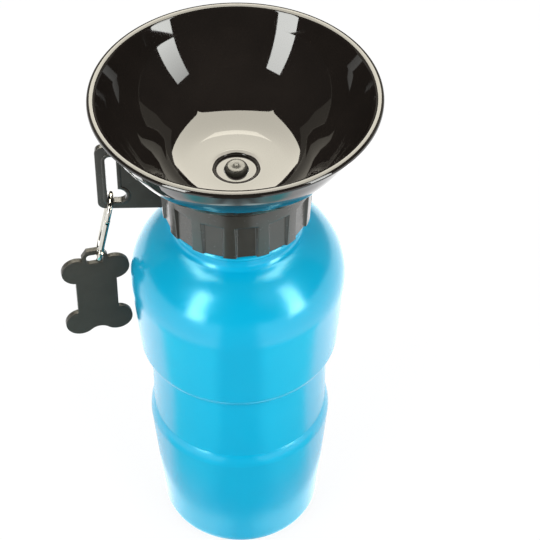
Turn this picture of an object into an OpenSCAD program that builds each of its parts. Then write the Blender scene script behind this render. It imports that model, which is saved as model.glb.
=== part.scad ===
// Travel water bottle for dogs: a squeeze bottle with a drinking bowl on top.
// Squeezing the bottle pushes water up the dip tube and through the valve into the bowl;
// letting go draws it back. Turning the bowl shuts the valve. Units are millimetres, +Z is up
// and the origin is on the bottle's axis at the level that the foot stands on.

/* [Bottle] */
// Radius of the side just above the base corner
base_r = 33.9; // [31:0.1:36]
// Radius of the rounded corner under the side
base_corner_r = 7.8; // [4:0.1:8]
// Width of the flat ring that the bottle stands on
foot_w = 3.4; // [2:0.1:5]
// Height of the hollow pushed up inside the foot ring
push_up_h = 3; // [2:0.1:5]
// Height of the lower body, from the floor to the step
lower_h = 59; // [50:0.1:66]
// Radius at the step, the widest part of the lower body
step_r = 38.1; // [37.4:0.1:38.8]
// Radius of the narrow waist that the hand squeezes
waist_r = 36.5; // [35:0.1:36.8]
// Height of the waist, from the step to the upper bulge
waist_h = 37.5; // [30:0.1:45]
// Radius of the bulge at its lower edge
bulge_low_r = 41; // [39.4:0.1:41.4]
// Radius of the bulge at its widest
bulge_r = 43.5; // [42.6:0.1:44]
// Height of the bulge, from the waist to its widest level
bulge_h = 41.5; // [36:0.1:46]
// Radius of the arc that rounds the shoulder
shoulder_arc_r = 29; // [27:0.1:31]
// Wall of the blown body
bottle_wall = 1.4; // [1:0.1:1.8]

/* [Neck] */
// Outer radius of the neck between the threads
neck_r = 25; // [24.5:0.1:25.3]
// Wall of the neck
neck_wall = 1.7; // [1.4:0.1:2]
// Radius of the groove between the shoulder and the bead
groove_r = 25.6; // [25.3:0.1:26]
// Height of the neck above the shoulder
neck_h = 18.25; // [17.6:0.05:19.4]
// Radius of the round bead under the collar
bead_r = 27.4; // [27:0.1:28]
// Rise of the screw thread in one turn
thread_pitch = 4; // [3.6:0.1:4.4]
// Depth of the screw thread
thread_depth = 1.3; // [1.1:0.1:1.4]
// Length of the screw thread in turns
thread_turns = 1.75; // [1.25:0.05:1.8]

/* [Collar] */
// Outer radius of the collar at its top
collar_r = 30.2; // [29.9:0.1:31]
// Height of the collar
collar_h = 23.4; // [22.8:0.1:23.8]
// How much narrower the collar is at its foot
collar_draft = 0.8; // [0.4:0.1:1]
// Number of places for grip pockets round the collar
pocket_count = 14; // [10:1:15]
// Width of a grip pocket
pocket_w = 8.8; // [6:0.1:9]
// Depth of a grip pocket
pocket_depth = 1.1; // [0.7:0.1:1.2]
// Height of a grip pocket
pocket_h = 15.3; // [12:0.1:17]
// Thickness of the deck that closes the collar over the neck
deck_t = 2; // [1.6:0.1:2.4]

/* [Bowl] */
// Radius of the bowl's rim
rim_r = 56; // [54.6:0.1:60]
// Height of the rim over the collar
bowl_rise = 35; // [34:0.1:37]
// Wall of the bowl
bowl_wall = 2; // [1.6:0.1:2.2]
// Radius of the curve at the foot of the bowl's side
bowl_curve_r = 82; // [79:1:88]
// Radius of the bend between the foot of the side and its straight upper part
bend_r = 58; // [48:1:62]
// Lean of the straight upper part of the side, in degrees from upright
side_tilt = 24; // [23:0.5:25]
// Thickness of the rim over the bowl's side
rim_t = 1.95; // [1.9:0.05:2.4]
// How far the rim stands out over the side beneath it
rim_out = 1.6; // [1.2:0.1:1.8]
// Depth under the rim of the point that the curve at the side's foot aims at
band_h = 2.85; // [2.4:0.05:3.2]
// Width of the flat ring of the floor round the recess
floor_flat_w = 0.9; // [0.6:0.1:1.4]
// Radius of the shallow dish of the bowl's floor
floor_dish_r = 100; // [90:2:120]
// Radius of the fillet between the dished floor and the side
floor_fillet_r = 19; // [17:0.5:20]
// Depth of the bowl's floor under the collar's top edge
floor_drop = 1.8; // [1.6:0.1:2]
// Rise of the bowl in one full turn on the collar
bowl_lead = 10; // [9.6:0.1:10.2]
// Number of thread starts that carry the bowl
bowl_starts = 3; // [3:1:3]

/* [Valve] */
// Radius of the valve post
post_r = 4.6; // [4:0.1:5]
// Height of the post's top over the bowl's floor
post_stand = 0.8; // [0.4:0.1:1.2]
// Radius of the round recess in the bowl's floor
recess_r = 10.1; // [9.7:0.1:10.4]
// Width of the rounded edge of the recess
recess_edge_w = 2.4; // [1.8:0.1:2.6]
// Depth of the recess
recess_depth = 1.8; // [1.4:0.1:2]
// Thickness of the ledge that the post plugs
ledge_t = 1.8; // [1.6:0.1:2]
// Inner radius of the collar's hub
hub_r = 14; // [13.6:0.1:15]
// Wall of the hub
hub_wall = 2; // [1.5:0.1:2.4]
// Outer radius of the dip tube
tube_r = 4; // [3.5:0.1:4.4]
// Wall of the dip tube
tube_wall = 0.9; // [0.7:0.1:1.1]
// Height of the dip tube's lower end over the floor
tube_foot_z = 7; // [6.6:0.1:14]

/* [Hanger] */
// Reach of the hanger from the bottle's axis
plate_reach = 54.5; // [54:0.1:57]
// Thickness of the hanger plate
plate_t = 2.6; // [2:0.1:3]
// Height of the hanger's top edge over its bottom edge
plate_h = 31.8; // [29:0.1:34]
// Height of the hanger's bottom edge over the collar's foot
plate_foot = 1.2; // [0.4:0.1:2]
// Width of the slot
slot_w = 4.3; // [4.2:0.1:4.8]
// Width of the plate outside the slot
slot_margin = 3.9; // [3.4:0.1:4.4]
// Height of the bar under the slot
bar_h = 3.7; // [3:0.1:4]
// Length of the slot
slot_h = 23.6; // [20:0.1:25]
// Radius of the round notch at the foot of the slot
notch_r = 3.4; // [3:0.1:3.8]

/* [Snap hook] */
// Length of the hook over all
hook_len = 35; // [33:0.1:36]
// Radius of the hook's wire
wire_r = 1.1; // [0.9:0.05:1.15]
// Radius of the hook's round ends, at the middle of the wire
hook_end_r = 5.35; // [5.2:0.05:6]

/* [Bone tag] */
// Thickness of the tag
tag_t = 2.4; // [1.8:0.1:2.6]
// Radius of the four round lobes
lobe_r = 6.3; // [5.6:0.1:6.4]
// Distance of the lobes' centres from the tag's middle line
lobe_x = 7.6; // [7:0.1:7.7]
// Distance of the lobes' centres from the tag's middle level
lobe_z = 14.6; // [13:0.1:15]
// Half width of the tag between its lobes
tag_waist = 8.4; // [6:0.1:9]
// Width of the hole in the tag's loop
eye_w = 6.8; // [6.6:0.1:7.4]
// Height of the hole in the tag's loop
eye_h = 4.8; // [4.6:0.1:5.4]
// Thickness of the loop over the hole
eye_bar = 2.3; // [1.6:0.1:2.6]
// Turn of the tag about the vertical
tag_turn = 12; // [8:1:13]

/* [Fits] */
// Clearance round a thread and between parts that turn on each other
run_gap = 0.4; // [0.35:0.05:0.5]
// Clearance round a part that is pushed into its place
push_gap = 0.05; // [0.03:0.01:0.08]
// Gap between the bowl and its seat on the collar
seat_gap = 0.2; // [0.15:0.05:0.3]
// Gap between the bowl's side and the hanger
hanger_gap = 1.3; // [1:0.1:1.6]
// Gap between the hanging tag and the bottle's bulge
tag_gap = 0.3; // [0.2:0.1:1.5]
// Play between the hook's wire and the outer side of the slot
hook_play = 0.3; // [0.2:0.1:0.6]
// Thickness of the flat seal on the bottle's lip
seal_t = 1.5; // [1.2:0.1:1.8]

/* [Hidden] */

$fn = 96;
arc_steps = 10; // segments in a small rounded corner
embed = 0.3;    // how far a rib is sunk into the wall that carries it
chamfer = 0.4;  // small bevel on moulded edges

// ---- colours ----
bottle_blue = [0.0, 0.62, 0.88];
bowl_black = [0.05, 0.045, 0.04];
charcoal = [0.16, 0.16, 0.15];
silicone = [0.75, 0.76, 0.76];
clear_plastic = [0.85, 0.88, 0.9];
bright_steel = [0.8, 0.8, 0.78];

// ---- levels of the bottle ----
waist_top_z = lower_h + waist_h;
bulge_z = waist_top_z + bulge_h;                 // widest level of the bulge
shoulder_c = [bulge_r - shoulder_arc_r, bulge_z];
neck_fillet_r = 3.04;
neck_fillet_c = let (
    dx = groove_r + neck_fillet_r - shoulder_c.x,
    reach = shoulder_arc_r + neck_fillet_r
) [groove_r + neck_fillet_r, shoulder_c.y + sqrt(reach * reach - dx * dx)];
neck_z = neck_fillet_c.y;                        // where the neck begins
lip_z = neck_z + neck_h;                         // the bottle's lip
neck_bore_r = neck_r - neck_wall;
bead_size = 1.5;
bead_z = neck_z + 2.8 + bead_size;               // middle of the bead

// ---- levels of the collar ----
deck_z = lip_z + seal_t;                         // underside of the deck
deck_top_z = deck_z + deck_t;
collar_z = bead_z + bead_size + 1.3;             // foot of the collar
collar_top_z = collar_z + collar_h;
thread_r = neck_r + thread_depth;                // crest of the neck's thread
collar_bore_r = thread_r + run_gap;
collar_crest_r = neck_r + run_gap;               // crest of the collar's thread
thread_z = deck_z - seal_t - 2.4 - thread_pitch * thread_turns; // start of the neck's thread
cup_r = collar_bore_r + 0.9;                     // bore of the cup that takes the bowl
hub_top_z = collar_top_z - floor_drop - bowl_wall - 0.6;
hub_foot_z = deck_z - 3.5;

// ---- curve of the bowl ----
rim_z = collar_top_z + bowl_rise;
bowl_foot = [collar_r - 0.9, collar_top_z];      // where the side leaves the collar
bowl_head = [rim_r - rim_out - 1.3, rim_z - rim_t - band_h];
bowl_c = let (                                   // centre of the side's arc
    chord = bowl_head - bowl_foot,
    half = norm(chord) / 2,
    middle = (bowl_head + bowl_foot) / 2,
    away = sqrt(bowl_curve_r * bowl_curve_r - half * half)
) middle + away * [-chord.y, chord.x] / norm(chord);
floor_z = collar_top_z - floor_drop;
curve_tilt = 47.5;                               // lean of the side where the bend begins
side_head = [rim_r - rim_out, rim_z - rim_t];    // where the side meets the rim
bend = let (                                     // radius of the bend that fits between its two tangents
    start = bowl_c + bowl_curve_r * [cos(curve_tilt), -sin(curve_tilt)],
    turned = curve_tilt - side_tilt,
    gap = side_head - start,
    low_len = (gap.x * cos(side_tilt) - gap.y * sin(side_tilt)) / sin(turned),
    high_len = (gap.y * sin(curve_tilt) - gap.x * cos(curve_tilt)) / sin(turned)
) min(bend_r, 0.97 * min(low_len, high_len) / tan(turned / 2));
bend_c = let (                                   // centre of the bend
    start = bowl_c + bowl_curve_r * [cos(curve_tilt), -sin(curve_tilt)],
    a = bend - cos(curve_tilt) * start.x + sin(curve_tilt) * start.y,
    b = bend - cos(side_tilt) * side_head.x + sin(side_tilt) * side_head.y,
    span = sin(curve_tilt - side_tilt)
) [a * sin(side_tilt) - b * sin(curve_tilt), a * cos(side_tilt) - b * cos(curve_tilt)] / span;
skirt_r = cup_r - 1.5;                           // outer radius of the bowl's skirt
skirt_wall = 1.8;
skirt_foot_z = deck_top_z + 0.5;
bowl_out_r = skirt_r + 0.8;                      // where the side's arc ends inside the collar
bowl_bottom_z = arc_z(bowl_curve_r, bowl_out_r);
ramp_root_w = 1.1;                               // thickness of the ribs that carry the bowl
ramp_crest_w = 0.8;
ramp_depth = 1.2;
lug_arc = 30;                                    // angle that each rib on the bowl covers
rail_arc = 108;                                  // angle that each rib in the collar covers
lug_z = skirt_foot_z + 0.1 + ramp_root_w / 2;
rail_z = lug_z + bowl_lead / bowl_starts / 2;

// ---- levels of the valve ----
ledge_z = floor_z - recess_depth;
ledge_hole_r = post_r + 0.3;
spigot_r = hub_r - 0.3;
spigot_wall = 2.9;
valve_cup_r = hub_r - push_gap;
valve_cup_z = hub_foot_z - 1.8;                  // underside of the valve cup
valve_floor_z = valve_cup_z + 1.6;
valve_cup_top_z = hub_foot_z + 2.6;
spigot_foot_z = valve_cup_top_z + 0.4;
bowl_seal_r = 0.9;                               // radius of the ring seal's section
bowl_seal_middle_r = hub_r - push_gap - bowl_seal_r;
bowl_seal_z = spigot_foot_z + 1.9;
post_seal_r = 0.5;
post_seal_middle_r = ledge_hole_r - push_gap - post_seal_r;
post_seal_z = ledge_z - ledge_t / 2;
post_top_z = floor_z + post_stand;
post_foot_z = valve_floor_z + 1.6;
post_round = [1.65, 2.5];                        // rounding of the post's top, across and down
socket_h = 9.7;                                  // length of the dip tube's socket
socket_wall = 1.4;
valve_wall = 1.6;
tube_top_z = valve_cup_z - 0.6;

// ---- hanger ----
plate_z = collar_z + plate_foot;
plate_corner_r = 3;
slot_x = plate_reach - slot_margin - slot_w / 2; // middle of the slot, from the axis
slot_z = plate_z + bar_h;                        // foot of the slot
notch = [slot_x - slot_w / 2, slot_z + notch_r];
slot_rim_w = 1.5;
slot_rim_t = 0.35;

// ---- snap hook, in its own frame: origin at the centre of its top end ----
hook_inner_r = hook_end_r - wire_r;
hook_straight = hook_len - 2 * (hook_end_r + wire_r);
nose_z = -2.4;                                   // end of the round nose
tongue_t = 0.8;                                  // thickness of the nose's and the pivot's tongues
gate_r = 1.2;
gate_top_z = nose_z - 0.2;
pivot_z = -hook_straight + 2.6;
stub_z = -hook_straight + 1;                     // end of the round stub that carries the pivot
rivet_r = 0.5;
fork_gap = 0.15;                                 // play between a tongue and its fork
spring_len = 9;

// ---- bone tag, in its own frame: origin at its middle ----
eye_z = lobe_z + 6.2;                            // middle of the hole
eye_corner = 1.5;
notch_z = lobe_z + 3.4;                          // level of the notch between two lobes
wire_in_eye = [1.7, eye_h / 2 - wire_r - 0.3];   // the wire sits off the middle of the hole
// distance from the wire in the hole to the tag's edge on the bottle's side
tag_inward = (lobe_x + lobe_r - wire_in_eye.x) * cos(tag_turn) + tag_t / 2 * sin(tag_turn);

// ---- place of the hook: it leans out until the tag hangs clear of the bulge ----
hook_top_x = plate_reach - slot_margin - wire_r - hook_play; // the wire in the slot
hook_foot_x = bulge_r + tag_gap + tag_inward;    // the wire under the tag's loop
hook_lean = asin(max(0, hook_foot_x - hook_top_x) / (hook_len - 2 * wire_r));
hook_top = [-hook_top_x, 0, slot_z + wire_r + 0.6];
hook_down = [-sin(hook_lean), 0, -cos(hook_lean)];
hook_c = hook_top + hook_end_r * hook_down;      // centre of the hook's top end
hook_foot = hook_c + (hook_straight + hook_end_r) * hook_down;

// ---- helpers ----

// Points of an arc round c, from angle a0 to a1.
function arc(c, r, a0, a1, n = arc_steps) =
    [for (i = [0:n]) c + r * [cos(a0 + (a1 - a0) * i / n), sin(a0 + (a1 - a0) * i / n)]];

// A smooth shift of a wall that climbs from p: an arc of radius ra, then one of radius rb.
function ogee(p, shift, ra, rb, n = arc_steps) =
    let (
        s = sign(shift),
        a = acos(1 - abs(shift) / (ra + rb)),
        q = p + [shift, (ra + rb) * sin(a)]
    )
    concat(
        [for (i = [0:n]) p + [s * ra * (1 - cos(a * i / n)), ra * sin(a * i / n)]],
        [for (i = [n - 1:-1:0]) q - [s * rb * (1 - cos(a * i / n)), rb * sin(a * i / n)]]
    );

function last(list) = list[len(list) - 1];
function reverse(list) = [for (i = [len(list) - 1:-1:0]) list[i]];
function rest(list) = [for (i = [1:len(list) - 1]) list[i]];
function left_of(v) = [-v.y, v.x] / norm(v);

// The line at distance t to the left of a line of points.
function inset(p, t) = [
    for (i = [0:len(p) - 1])
        let (
            before = i > 0 ? left_of(p[i] - p[i - 1]) : left_of(p[1] - p[0]),
            after = i < len(p) - 1 ? left_of(p[i + 1] - p[i]) : before,
            mean = (before + after) / norm(before + after)
        )
        p[i] + t * mean / (mean * before)
];

// Height and radius on an arc round the bowl's centre of curvature.
function arc_z(curve_r, r) =
    bowl_c.y - sqrt(curve_r * curve_r - (r - bowl_c.x) * (r - bowl_c.x));
function arc_r(curve_r, z) =
    bowl_c.x + sqrt(curve_r * curve_r - (z - bowl_c.y) * (z - bowl_c.y));
function arc_angle(p) = atan2(p.y - bowl_c.y, p.x - bowl_c.x);

// A helical rib: its section is a trapezium that runs from root_r to crest_r.
module helical_rib(root_r, crest_r, z, pitch, angle, root_w, crest_w, from = 0, step = 10, fade = 20) {
    n = ceil(angle / step);
    outward = crest_r > root_r;
    sunk = root_r + (outward ? -embed : embed);
    function height(a) = max(0.08, min(1, a / fade, (angle - a) / fade));
    function at(r, a, z) = [r * cos(a), r * sin(a), z];
    points = [
        for (i = [0:n])
            let (
                a = angle * i / n,
                level = z + pitch * a / 360,
                tip = root_r + (crest_r - root_r) * height(a)
            )
            each [
                at(sunk, a + from, level - root_w / 2), at(tip, a + from, level - crest_w / 2),
                at(tip, a + from, level + crest_w / 2), at(sunk, a + from, level + root_w / 2)
            ]
    ];
    sides = [
        for (i = [0:n - 1], k = [0:3])
            let (a = 4 * i + k, b = 4 * i + (k + 1) % 4)
            each [[a, a + 4, b], [b, a + 4, b + 4]]
    ];
    ends = [[0, 1, 2], [0, 2, 3], [4 * n + 2, 4 * n + 1, 4 * n], [4 * n + 3, 4 * n + 2, 4 * n]];
    faces = concat(sides, ends);
    polyhedron(points, outward ? [for (f = faces) reverse(f)] : faces, convexity = 6);
}

module ring(inner, outer, z0, z1) {
    difference() {
        translate([0, 0, z0]) cylinder(r = outer, h = z1 - z0);
        translate([0, 0, z0 - 1]) cylinder(r = inner, h = z1 - z0 + 2);
    }
}

module ring_seal(middle_r, section_r, z) {
    translate([0, 0, z]) rotate_extrude() translate([middle_r, 0]) circle(r = section_r, $fn = 32);
}

// ---- bottle ----

// Outline of the blown body from the middle of its base to the foot of the neck.
function body_outline() =
    let (
        foot_r = base_r - base_corner_r,
        hollow_r = foot_r - foot_w,
        dome_r = (hollow_r * hollow_r + push_up_h * push_up_h) / (2 * push_up_h),
        dome_a = asin(hollow_r / dome_r),
        lean = atan2(step_r - base_r, lower_h - base_corner_r),
        waist = ogee([step_r, lower_h], waist_r - step_r, 13, 0.5),
        bulge = ogee([waist_r, waist_top_z], bulge_low_r - waist_r, 4, 6.5),
        flare = atan2(bulge_r - bulge_low_r, bulge_z - last(bulge).y),
        meet = atan2(neck_fillet_c.y - shoulder_c.y, neck_fillet_c.x - shoulder_c.x)
    )
    concat(
        arc([0, push_up_h - dome_r], dome_r, 90, 90 - dome_a),
        arc([foot_r, base_corner_r], base_corner_r, -90, -lean),
        waist,
        bulge,
        arc(shoulder_c, shoulder_arc_r, -flare, meet, 24),
        rest(arc(neck_fillet_c, neck_fillet_r, 180 + meet, 180))
    );

module neck_thread() {
    helical_rib(
        neck_r, thread_r, thread_z, thread_pitch, 360 * thread_turns,
        root_w = 2, crest_w = 1
    );
}

module bottle_body() {
    outline = body_outline();
    inner = inset(outline, bottle_wall);
    inside = concat([[0, inner[0].y]], rest(inner)); // its first point is put on the axis
    color(bottle_blue) union() {
        rotate_extrude() polygon(concat(
            outline,
            [[groove_r, bead_z - bead_size - 0.2]],
            arc([bead_r - bead_size, bead_z], bead_size, -80, 80),
            [[neck_r, bead_z + bead_size + 0.2], [neck_r, lip_z - chamfer], [neck_r - chamfer, lip_z]],
            [[neck_bore_r, lip_z], [neck_bore_r, neck_z + 2]],
            reverse(inside)
        ));
        neck_thread();
    }
}

module neck_seal() {
    color(silicone) ring(neck_bore_r + 0.3, neck_r + 0.9, lip_z, deck_z);
}

// ---- collar ----

// One grip pocket: flat at the back, with its two sides and its top sloping out.
module pocket() {
    floor_x = collar_r - collar_draft - pocket_depth;
    reach = 6;
    half = pocket_w / 2 - 0.9; // half the width of its floor
    mouth = half + 0.77 * reach;
    intersection() {
        rotate([90, 0, 0]) linear_extrude(height = 3 * reach, center = true) polygon([
            [floor_x, collar_z - 1], [floor_x, collar_z + pocket_h],
            [floor_x + reach, collar_z + pocket_h + 0.9 * reach], [floor_x + reach, collar_z - 1]
        ]);
        translate([0, 0, collar_z - 2]) linear_extrude(height = collar_h + 4) polygon([
            [floor_x, -half], [floor_x + reach, -mouth], [floor_x + reach, mouth], [floor_x, half]
        ]);
    }
}

// The pockets stand evenly round the collar, with the one under the hanger left out.
module pockets() {
    pocket_phase = 5.9; // turn of the pattern from the hanger, in degrees
    for (i = [1:pocket_count - 1])
        rotate([0, 0, 180 - pocket_phase + i * 360 / pocket_count]) pocket();
}

module collar_shell() {
    top_in = arc_z(bowl_curve_r + seat_gap, cup_r);
    rotate_extrude() polygon(concat(
        [[collar_bore_r, collar_z], [collar_r - collar_draft, collar_z]],
        [[collar_r, collar_top_z - 5], [collar_r, collar_top_z - chamfer]],
        [[collar_r - chamfer, collar_top_z]],
        arc(
            bowl_c, bowl_curve_r + seat_gap,
            arc_angle([arc_r(bowl_curve_r + seat_gap, collar_top_z), collar_top_z]),
            arc_angle([cup_r, top_in]), 4
        ),
        [[cup_r, deck_top_z], [hub_r + hub_wall, deck_top_z], [hub_r + hub_wall, hub_top_z]],
        [[hub_r, hub_top_z], [hub_r, hub_foot_z], [hub_r + hub_wall, hub_foot_z]],
        [[hub_r + hub_wall, deck_z], [collar_bore_r, deck_z]]
    ));
}

// Outline of the slot with its round notch, grown by g on every side.
module slot_outline(g = 0) {
    half = slot_w / 2 + g;
    corner = 1 + g;
    foot = slot_z - g;
    translate([slot_x - half, foot + corner])
        square([2 * half, slot_h + 2 * g - corner - half]);
    translate([slot_x, slot_z + slot_h - slot_w / 2]) circle(r = half, $fn = 64);
    translate([slot_x + half - corner, foot + corner]) circle(r = corner, $fn = 48);
    translate([notch.x, foot]) square([slot_w + g - corner + 0.001, corner + 1]);
    translate(notch) circle(r = notch_r + g, $fn = 64);
}

module hanger_outline() {
    edge_r = bowl_curve_r + seat_gap + hanger_gap; // the edge follows the bowl
    top_z = plate_z + plate_h;
    root_r = collar_r - 1.2;
    meet_r = collar_r + 0.2;
    c = plate_corner_r;
    polygon(concat(
        [[root_r, plate_z]],
        arc([plate_reach - c, plate_z + c], c, -90, 0),
        arc([plate_reach - c, top_z - c], c, 0, 90),
        arc(
            bowl_c, edge_r, arc_angle([arc_r(edge_r, top_z), top_z]),
            arc_angle([meet_r, arc_z(edge_r, meet_r)]), 12
        ),
        [[root_r, arc_z(edge_r, meet_r) - 0.6]]
    ));
}

// The plate stands in the plane of the axis, on the -X side.
module hanger() {
    rotate([0, 0, 180]) rotate([90, 0, 0]) {
        difference() {
            union() {
                linear_extrude(height = plate_t, center = true) hanger_outline();
                linear_extrude(height = plate_t + 2 * slot_rim_t, center = true)
                    slot_outline(slot_rim_w);
            }
            linear_extrude(height = plate_t + 4, center = true) slot_outline();
        }
    }
}

module collar_thread() {
    helical_rib(
        collar_bore_r, collar_crest_r, thread_z + thread_pitch / 2, thread_pitch,
        360 * (thread_turns - 0.5), root_w = 2, crest_w = 1
    );
}

// The rails hold the bowl's ribs down, and raise or lower the bowl as it is turned.
module rails() {
    for (i = [0:bowl_starts - 1])
        helical_rib(
            cup_r, cup_r - ramp_depth, rail_z, bowl_lead, rail_arc,
            root_w = ramp_root_w, crest_w = ramp_crest_w, from = i * 360 / bowl_starts
        );
}

module screw_collar() {
    color(charcoal) union() {
        difference() {
            collar_shell();
            pockets();
        }
        hanger();
        collar_thread();
        rails();
    }
}

// ---- valve ----

// A cup that plugs into the collar's hub, with a socket for the dip tube under it.
module valve_cup() {
    inner_r = valve_cup_r - valve_wall;
    socket_bore_r = tube_r + push_gap;
    flange_r = hub_r + hub_wall;
    flange_z = hub_foot_z - push_gap;
    rotate_extrude() polygon([
        [socket_bore_r, valve_cup_z - socket_h], [socket_bore_r + socket_wall, valve_cup_z - socket_h],
        [socket_bore_r + socket_wall, valve_cup_z], [flange_r, valve_cup_z],
        [flange_r, flange_z], [valve_cup_r, flange_z],
        [valve_cup_r, valve_cup_top_z], [inner_r, valve_cup_top_z],
        [inner_r, valve_floor_z], [tube_r - tube_wall, valve_floor_z],
        [tube_r - tube_wall, tube_top_z], [socket_bore_r, tube_top_z]
    ]);
}

// The post plugs the hole in the bowl's floor. Its nose is round, and a ring seal sits in its side.
module post() {
    seat_r = post_seal_middle_r - post_seal_r - 0.05;
    half = post_seal_r + 0.1;
    nose = [post_r - post_round.x, post_top_z - post_round.y];
    rotate_extrude() polygon(concat(
        [[0, post_foot_z], [post_r, post_foot_z]],
        [[post_r, post_seal_z - half], [seat_r, post_seal_z - half]],
        [[seat_r, post_seal_z + half], [post_r, post_seal_z + half]],
        [for (i = [0:arc_steps]) let (a = 90 * i / arc_steps)
            nose + [post_round.x * cos(a), post_round.y * sin(a)]],
        [[1.1, post_top_z], [0.8, post_top_z - 0.3], [0, post_top_z - 0.4]]
    ));
}

module valve_post() {
    color(charcoal) union() {
        valve_cup();
        post();
        // ribs that carry the post and leave four ports between them
        for (a = [45, 135])
            rotate([0, 0, a])
                translate([-(valve_cup_r - 1), -0.7, valve_floor_z - 0.2])
                    cube([2 * (valve_cup_r - 1), 1.4, post_foot_z - valve_floor_z + 0.6]);
    }
}

module post_seal() {
    color(silicone) ring_seal(post_seal_middle_r, post_seal_r, post_seal_z);
}

module dip_tube() {
    color(clear_plastic) ring(tube_r - tube_wall, tube_r, tube_foot_z, tube_top_z);
}

// ---- bowl ----

// Outline of the bowl: the skirt, the side, the rim, the floor, the ledge and the spigot.
function bowl_outline() =
    let (
        in_r = bowl_curve_r - bowl_wall,
        dish_c = [recess_r + floor_flat_w, floor_z + floor_dish_r],
        // the fillet touches the dish and the side from inside
        fillet_c = let (
            way = bowl_c - dish_c,
            gap = norm(way),
            a = floor_dish_r - floor_fillet_r,
            b = in_r - floor_fillet_r,
            along = (a * a - b * b + gap * gap) / (2 * gap),
            off = sqrt(a * a - along * along)
        ) dish_c + along * way / gap + off * [-way.y, way.x] / gap,
        fillet_a0 = arc_angle(fillet_c),
        fillet_a1 = atan2(fillet_c.y - dish_c.y, fillet_c.x - dish_c.x),
        lip_r = 1.8,
        crown_r = 1.6,
        rim_edge_r = 0.3,
        lip_z = rim_z - lip_r,
        lip_x = side_head.x - bowl_wall / cos(side_tilt) + (lip_z - side_head.y) * tan(side_tilt),
        under_z = floor_z - bowl_wall,
        skirt_in_r = skirt_r - skirt_wall,
        groove_r = bowl_seal_middle_r - bowl_seal_r - 0.1,
        groove_half = bowl_seal_r + 0.15
    )
    concat(
        [[skirt_in_r, skirt_foot_z], [skirt_r, skirt_foot_z], [skirt_r, bowl_bottom_z]],
        arc(bowl_c, bowl_curve_r, arc_angle([bowl_out_r, bowl_bottom_z]), -curve_tilt, 12),
        arc(bend_c, bend, -curve_tilt, -side_tilt, 20),
        [side_head],
        arc([rim_r - rim_edge_r, rim_z - rim_t + rim_edge_r], rim_edge_r, -90, 0, 4),
        arc([rim_r - crown_r, rim_z - crown_r], crown_r, 0, 90, 10),
        arc([lip_x + lip_r, lip_z], lip_r, 90, 180 - side_tilt, 8),
        arc(bend_c, bend - bowl_wall, -side_tilt, -curve_tilt, 20),
        arc(bowl_c, in_r, -curve_tilt, fillet_a0, 4),
        [for (i = [1:12]) fillet_c + floor_fillet_r * [
            cos(fillet_a0 + (fillet_a1 - fillet_a0) * i / 12), sin(fillet_a0 + (fillet_a1 - fillet_a0) * i / 12)
        ]],
        [for (i = [1:6]) dish_c + floor_dish_r * [
            cos(fillet_a1 + (-90 - fillet_a1) * i / 6), sin(fillet_a1 + (-90 - fillet_a1) * i / 6)
        ]],
        [for (i = [0:8]) [recess_r - recess_edge_w * sin(90 * i / 8), ledge_z + recess_depth * cos(90 * i / 8)]],
        [[ledge_hole_r, ledge_z]],
        [[ledge_hole_r, ledge_z - ledge_t], [spigot_r - spigot_wall, ledge_z - ledge_t]],
        [[spigot_r - spigot_wall, spigot_foot_z], [spigot_r - chamfer, spigot_foot_z]],
        [[spigot_r, spigot_foot_z + chamfer], [spigot_r, bowl_seal_z - groove_half]],
        [[groove_r, bowl_seal_z - groove_half], [groove_r, bowl_seal_z + groove_half]],
        [[spigot_r, bowl_seal_z + groove_half], [spigot_r, under_z], [skirt_in_r, under_z]]
    );

module bowl() {
    color(bowl_black) union() {
        rotate_extrude() polygon(bowl_outline());
        for (i = [0:bowl_starts - 1])
            helical_rib(
                skirt_r, skirt_r + ramp_depth, lug_z, bowl_lead, lug_arc,
                root_w = ramp_root_w, crest_w = ramp_crest_w,
                from = i * 360 / bowl_starts, step = 5, fade = 8
            );
    }
}

module bowl_seal() {
    color(silicone) ring_seal(bowl_seal_middle_r, bowl_seal_r, bowl_seal_z);
}

// ---- snap hook ----

// Puts a piece that is drawn in the hook's own frame in its place.
module at_hook() {
    translate(hook_c) rotate([0, hook_lean, 0]) children();
}

// A half ring of wire in the YZ plane, over the top (side = 1) or round the foot (side = -1).
module wire_bend(side) {
    rotate([90 * side, 0, 90]) rotate_extrude(angle = 180)
        translate([hook_end_r, 0]) circle(r = wire_r, $fn = 48);
}

module wire_leg(y, z0, z1) {
    translate([0, y, z0]) cylinder(r = wire_r, h = z1 - z0, $fn = 48);
}

module hook_frame() {
    color(bright_steel) at_hook() union() {
        wire_bend(1);
        translate([0, 0, -hook_straight]) wire_bend(-1);
        wire_leg(hook_end_r, -hook_straight, 0);
        wire_leg(-hook_end_r, nose_z, 0);
        wire_leg(-hook_end_r, -hook_straight, stub_z);
        // tongue that the top of the gate closes on
        translate([-tongue_t / 2, -hook_end_r - 0.9, nose_z - 1.4]) cube([tongue_t, 1.5, 1.6]);
        // tongue that the gate turns on
        difference() {
            union() {
                translate([-tongue_t / 2, -hook_end_r - 0.9, stub_z - 0.2])
                    cube([tongue_t, 1.8, pivot_z - stub_z + 0.2]);
                translate([-tongue_t / 2, -hook_end_r, pivot_z]) rotate([0, 90, 0])
                    cylinder(r = 0.9, h = tongue_t, $fn = 48);
            }
            translate([-2, -hook_end_r, pivot_z]) rotate([0, 90, 0])
                cylinder(r = rivet_r + push_gap, h = 4, $fn = 48);
        }
    }
}

module gate_rivet() {
    head_x = gate_r + 0.1;
    color(bright_steel) at_hook() translate([0, -hook_end_r, pivot_z]) rotate([0, 90, 0]) union() {
        translate([0, 0, -head_x - 0.3]) cylinder(r = rivet_r, h = 2 * head_x + 0.6, $fn = 48);
        for (side = [-1, 1])
            translate([0, 0, side * (head_x + 0.15) - 0.15]) cylinder(r = 0.8, h = 0.3, $fn = 48);
    }
}

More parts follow.
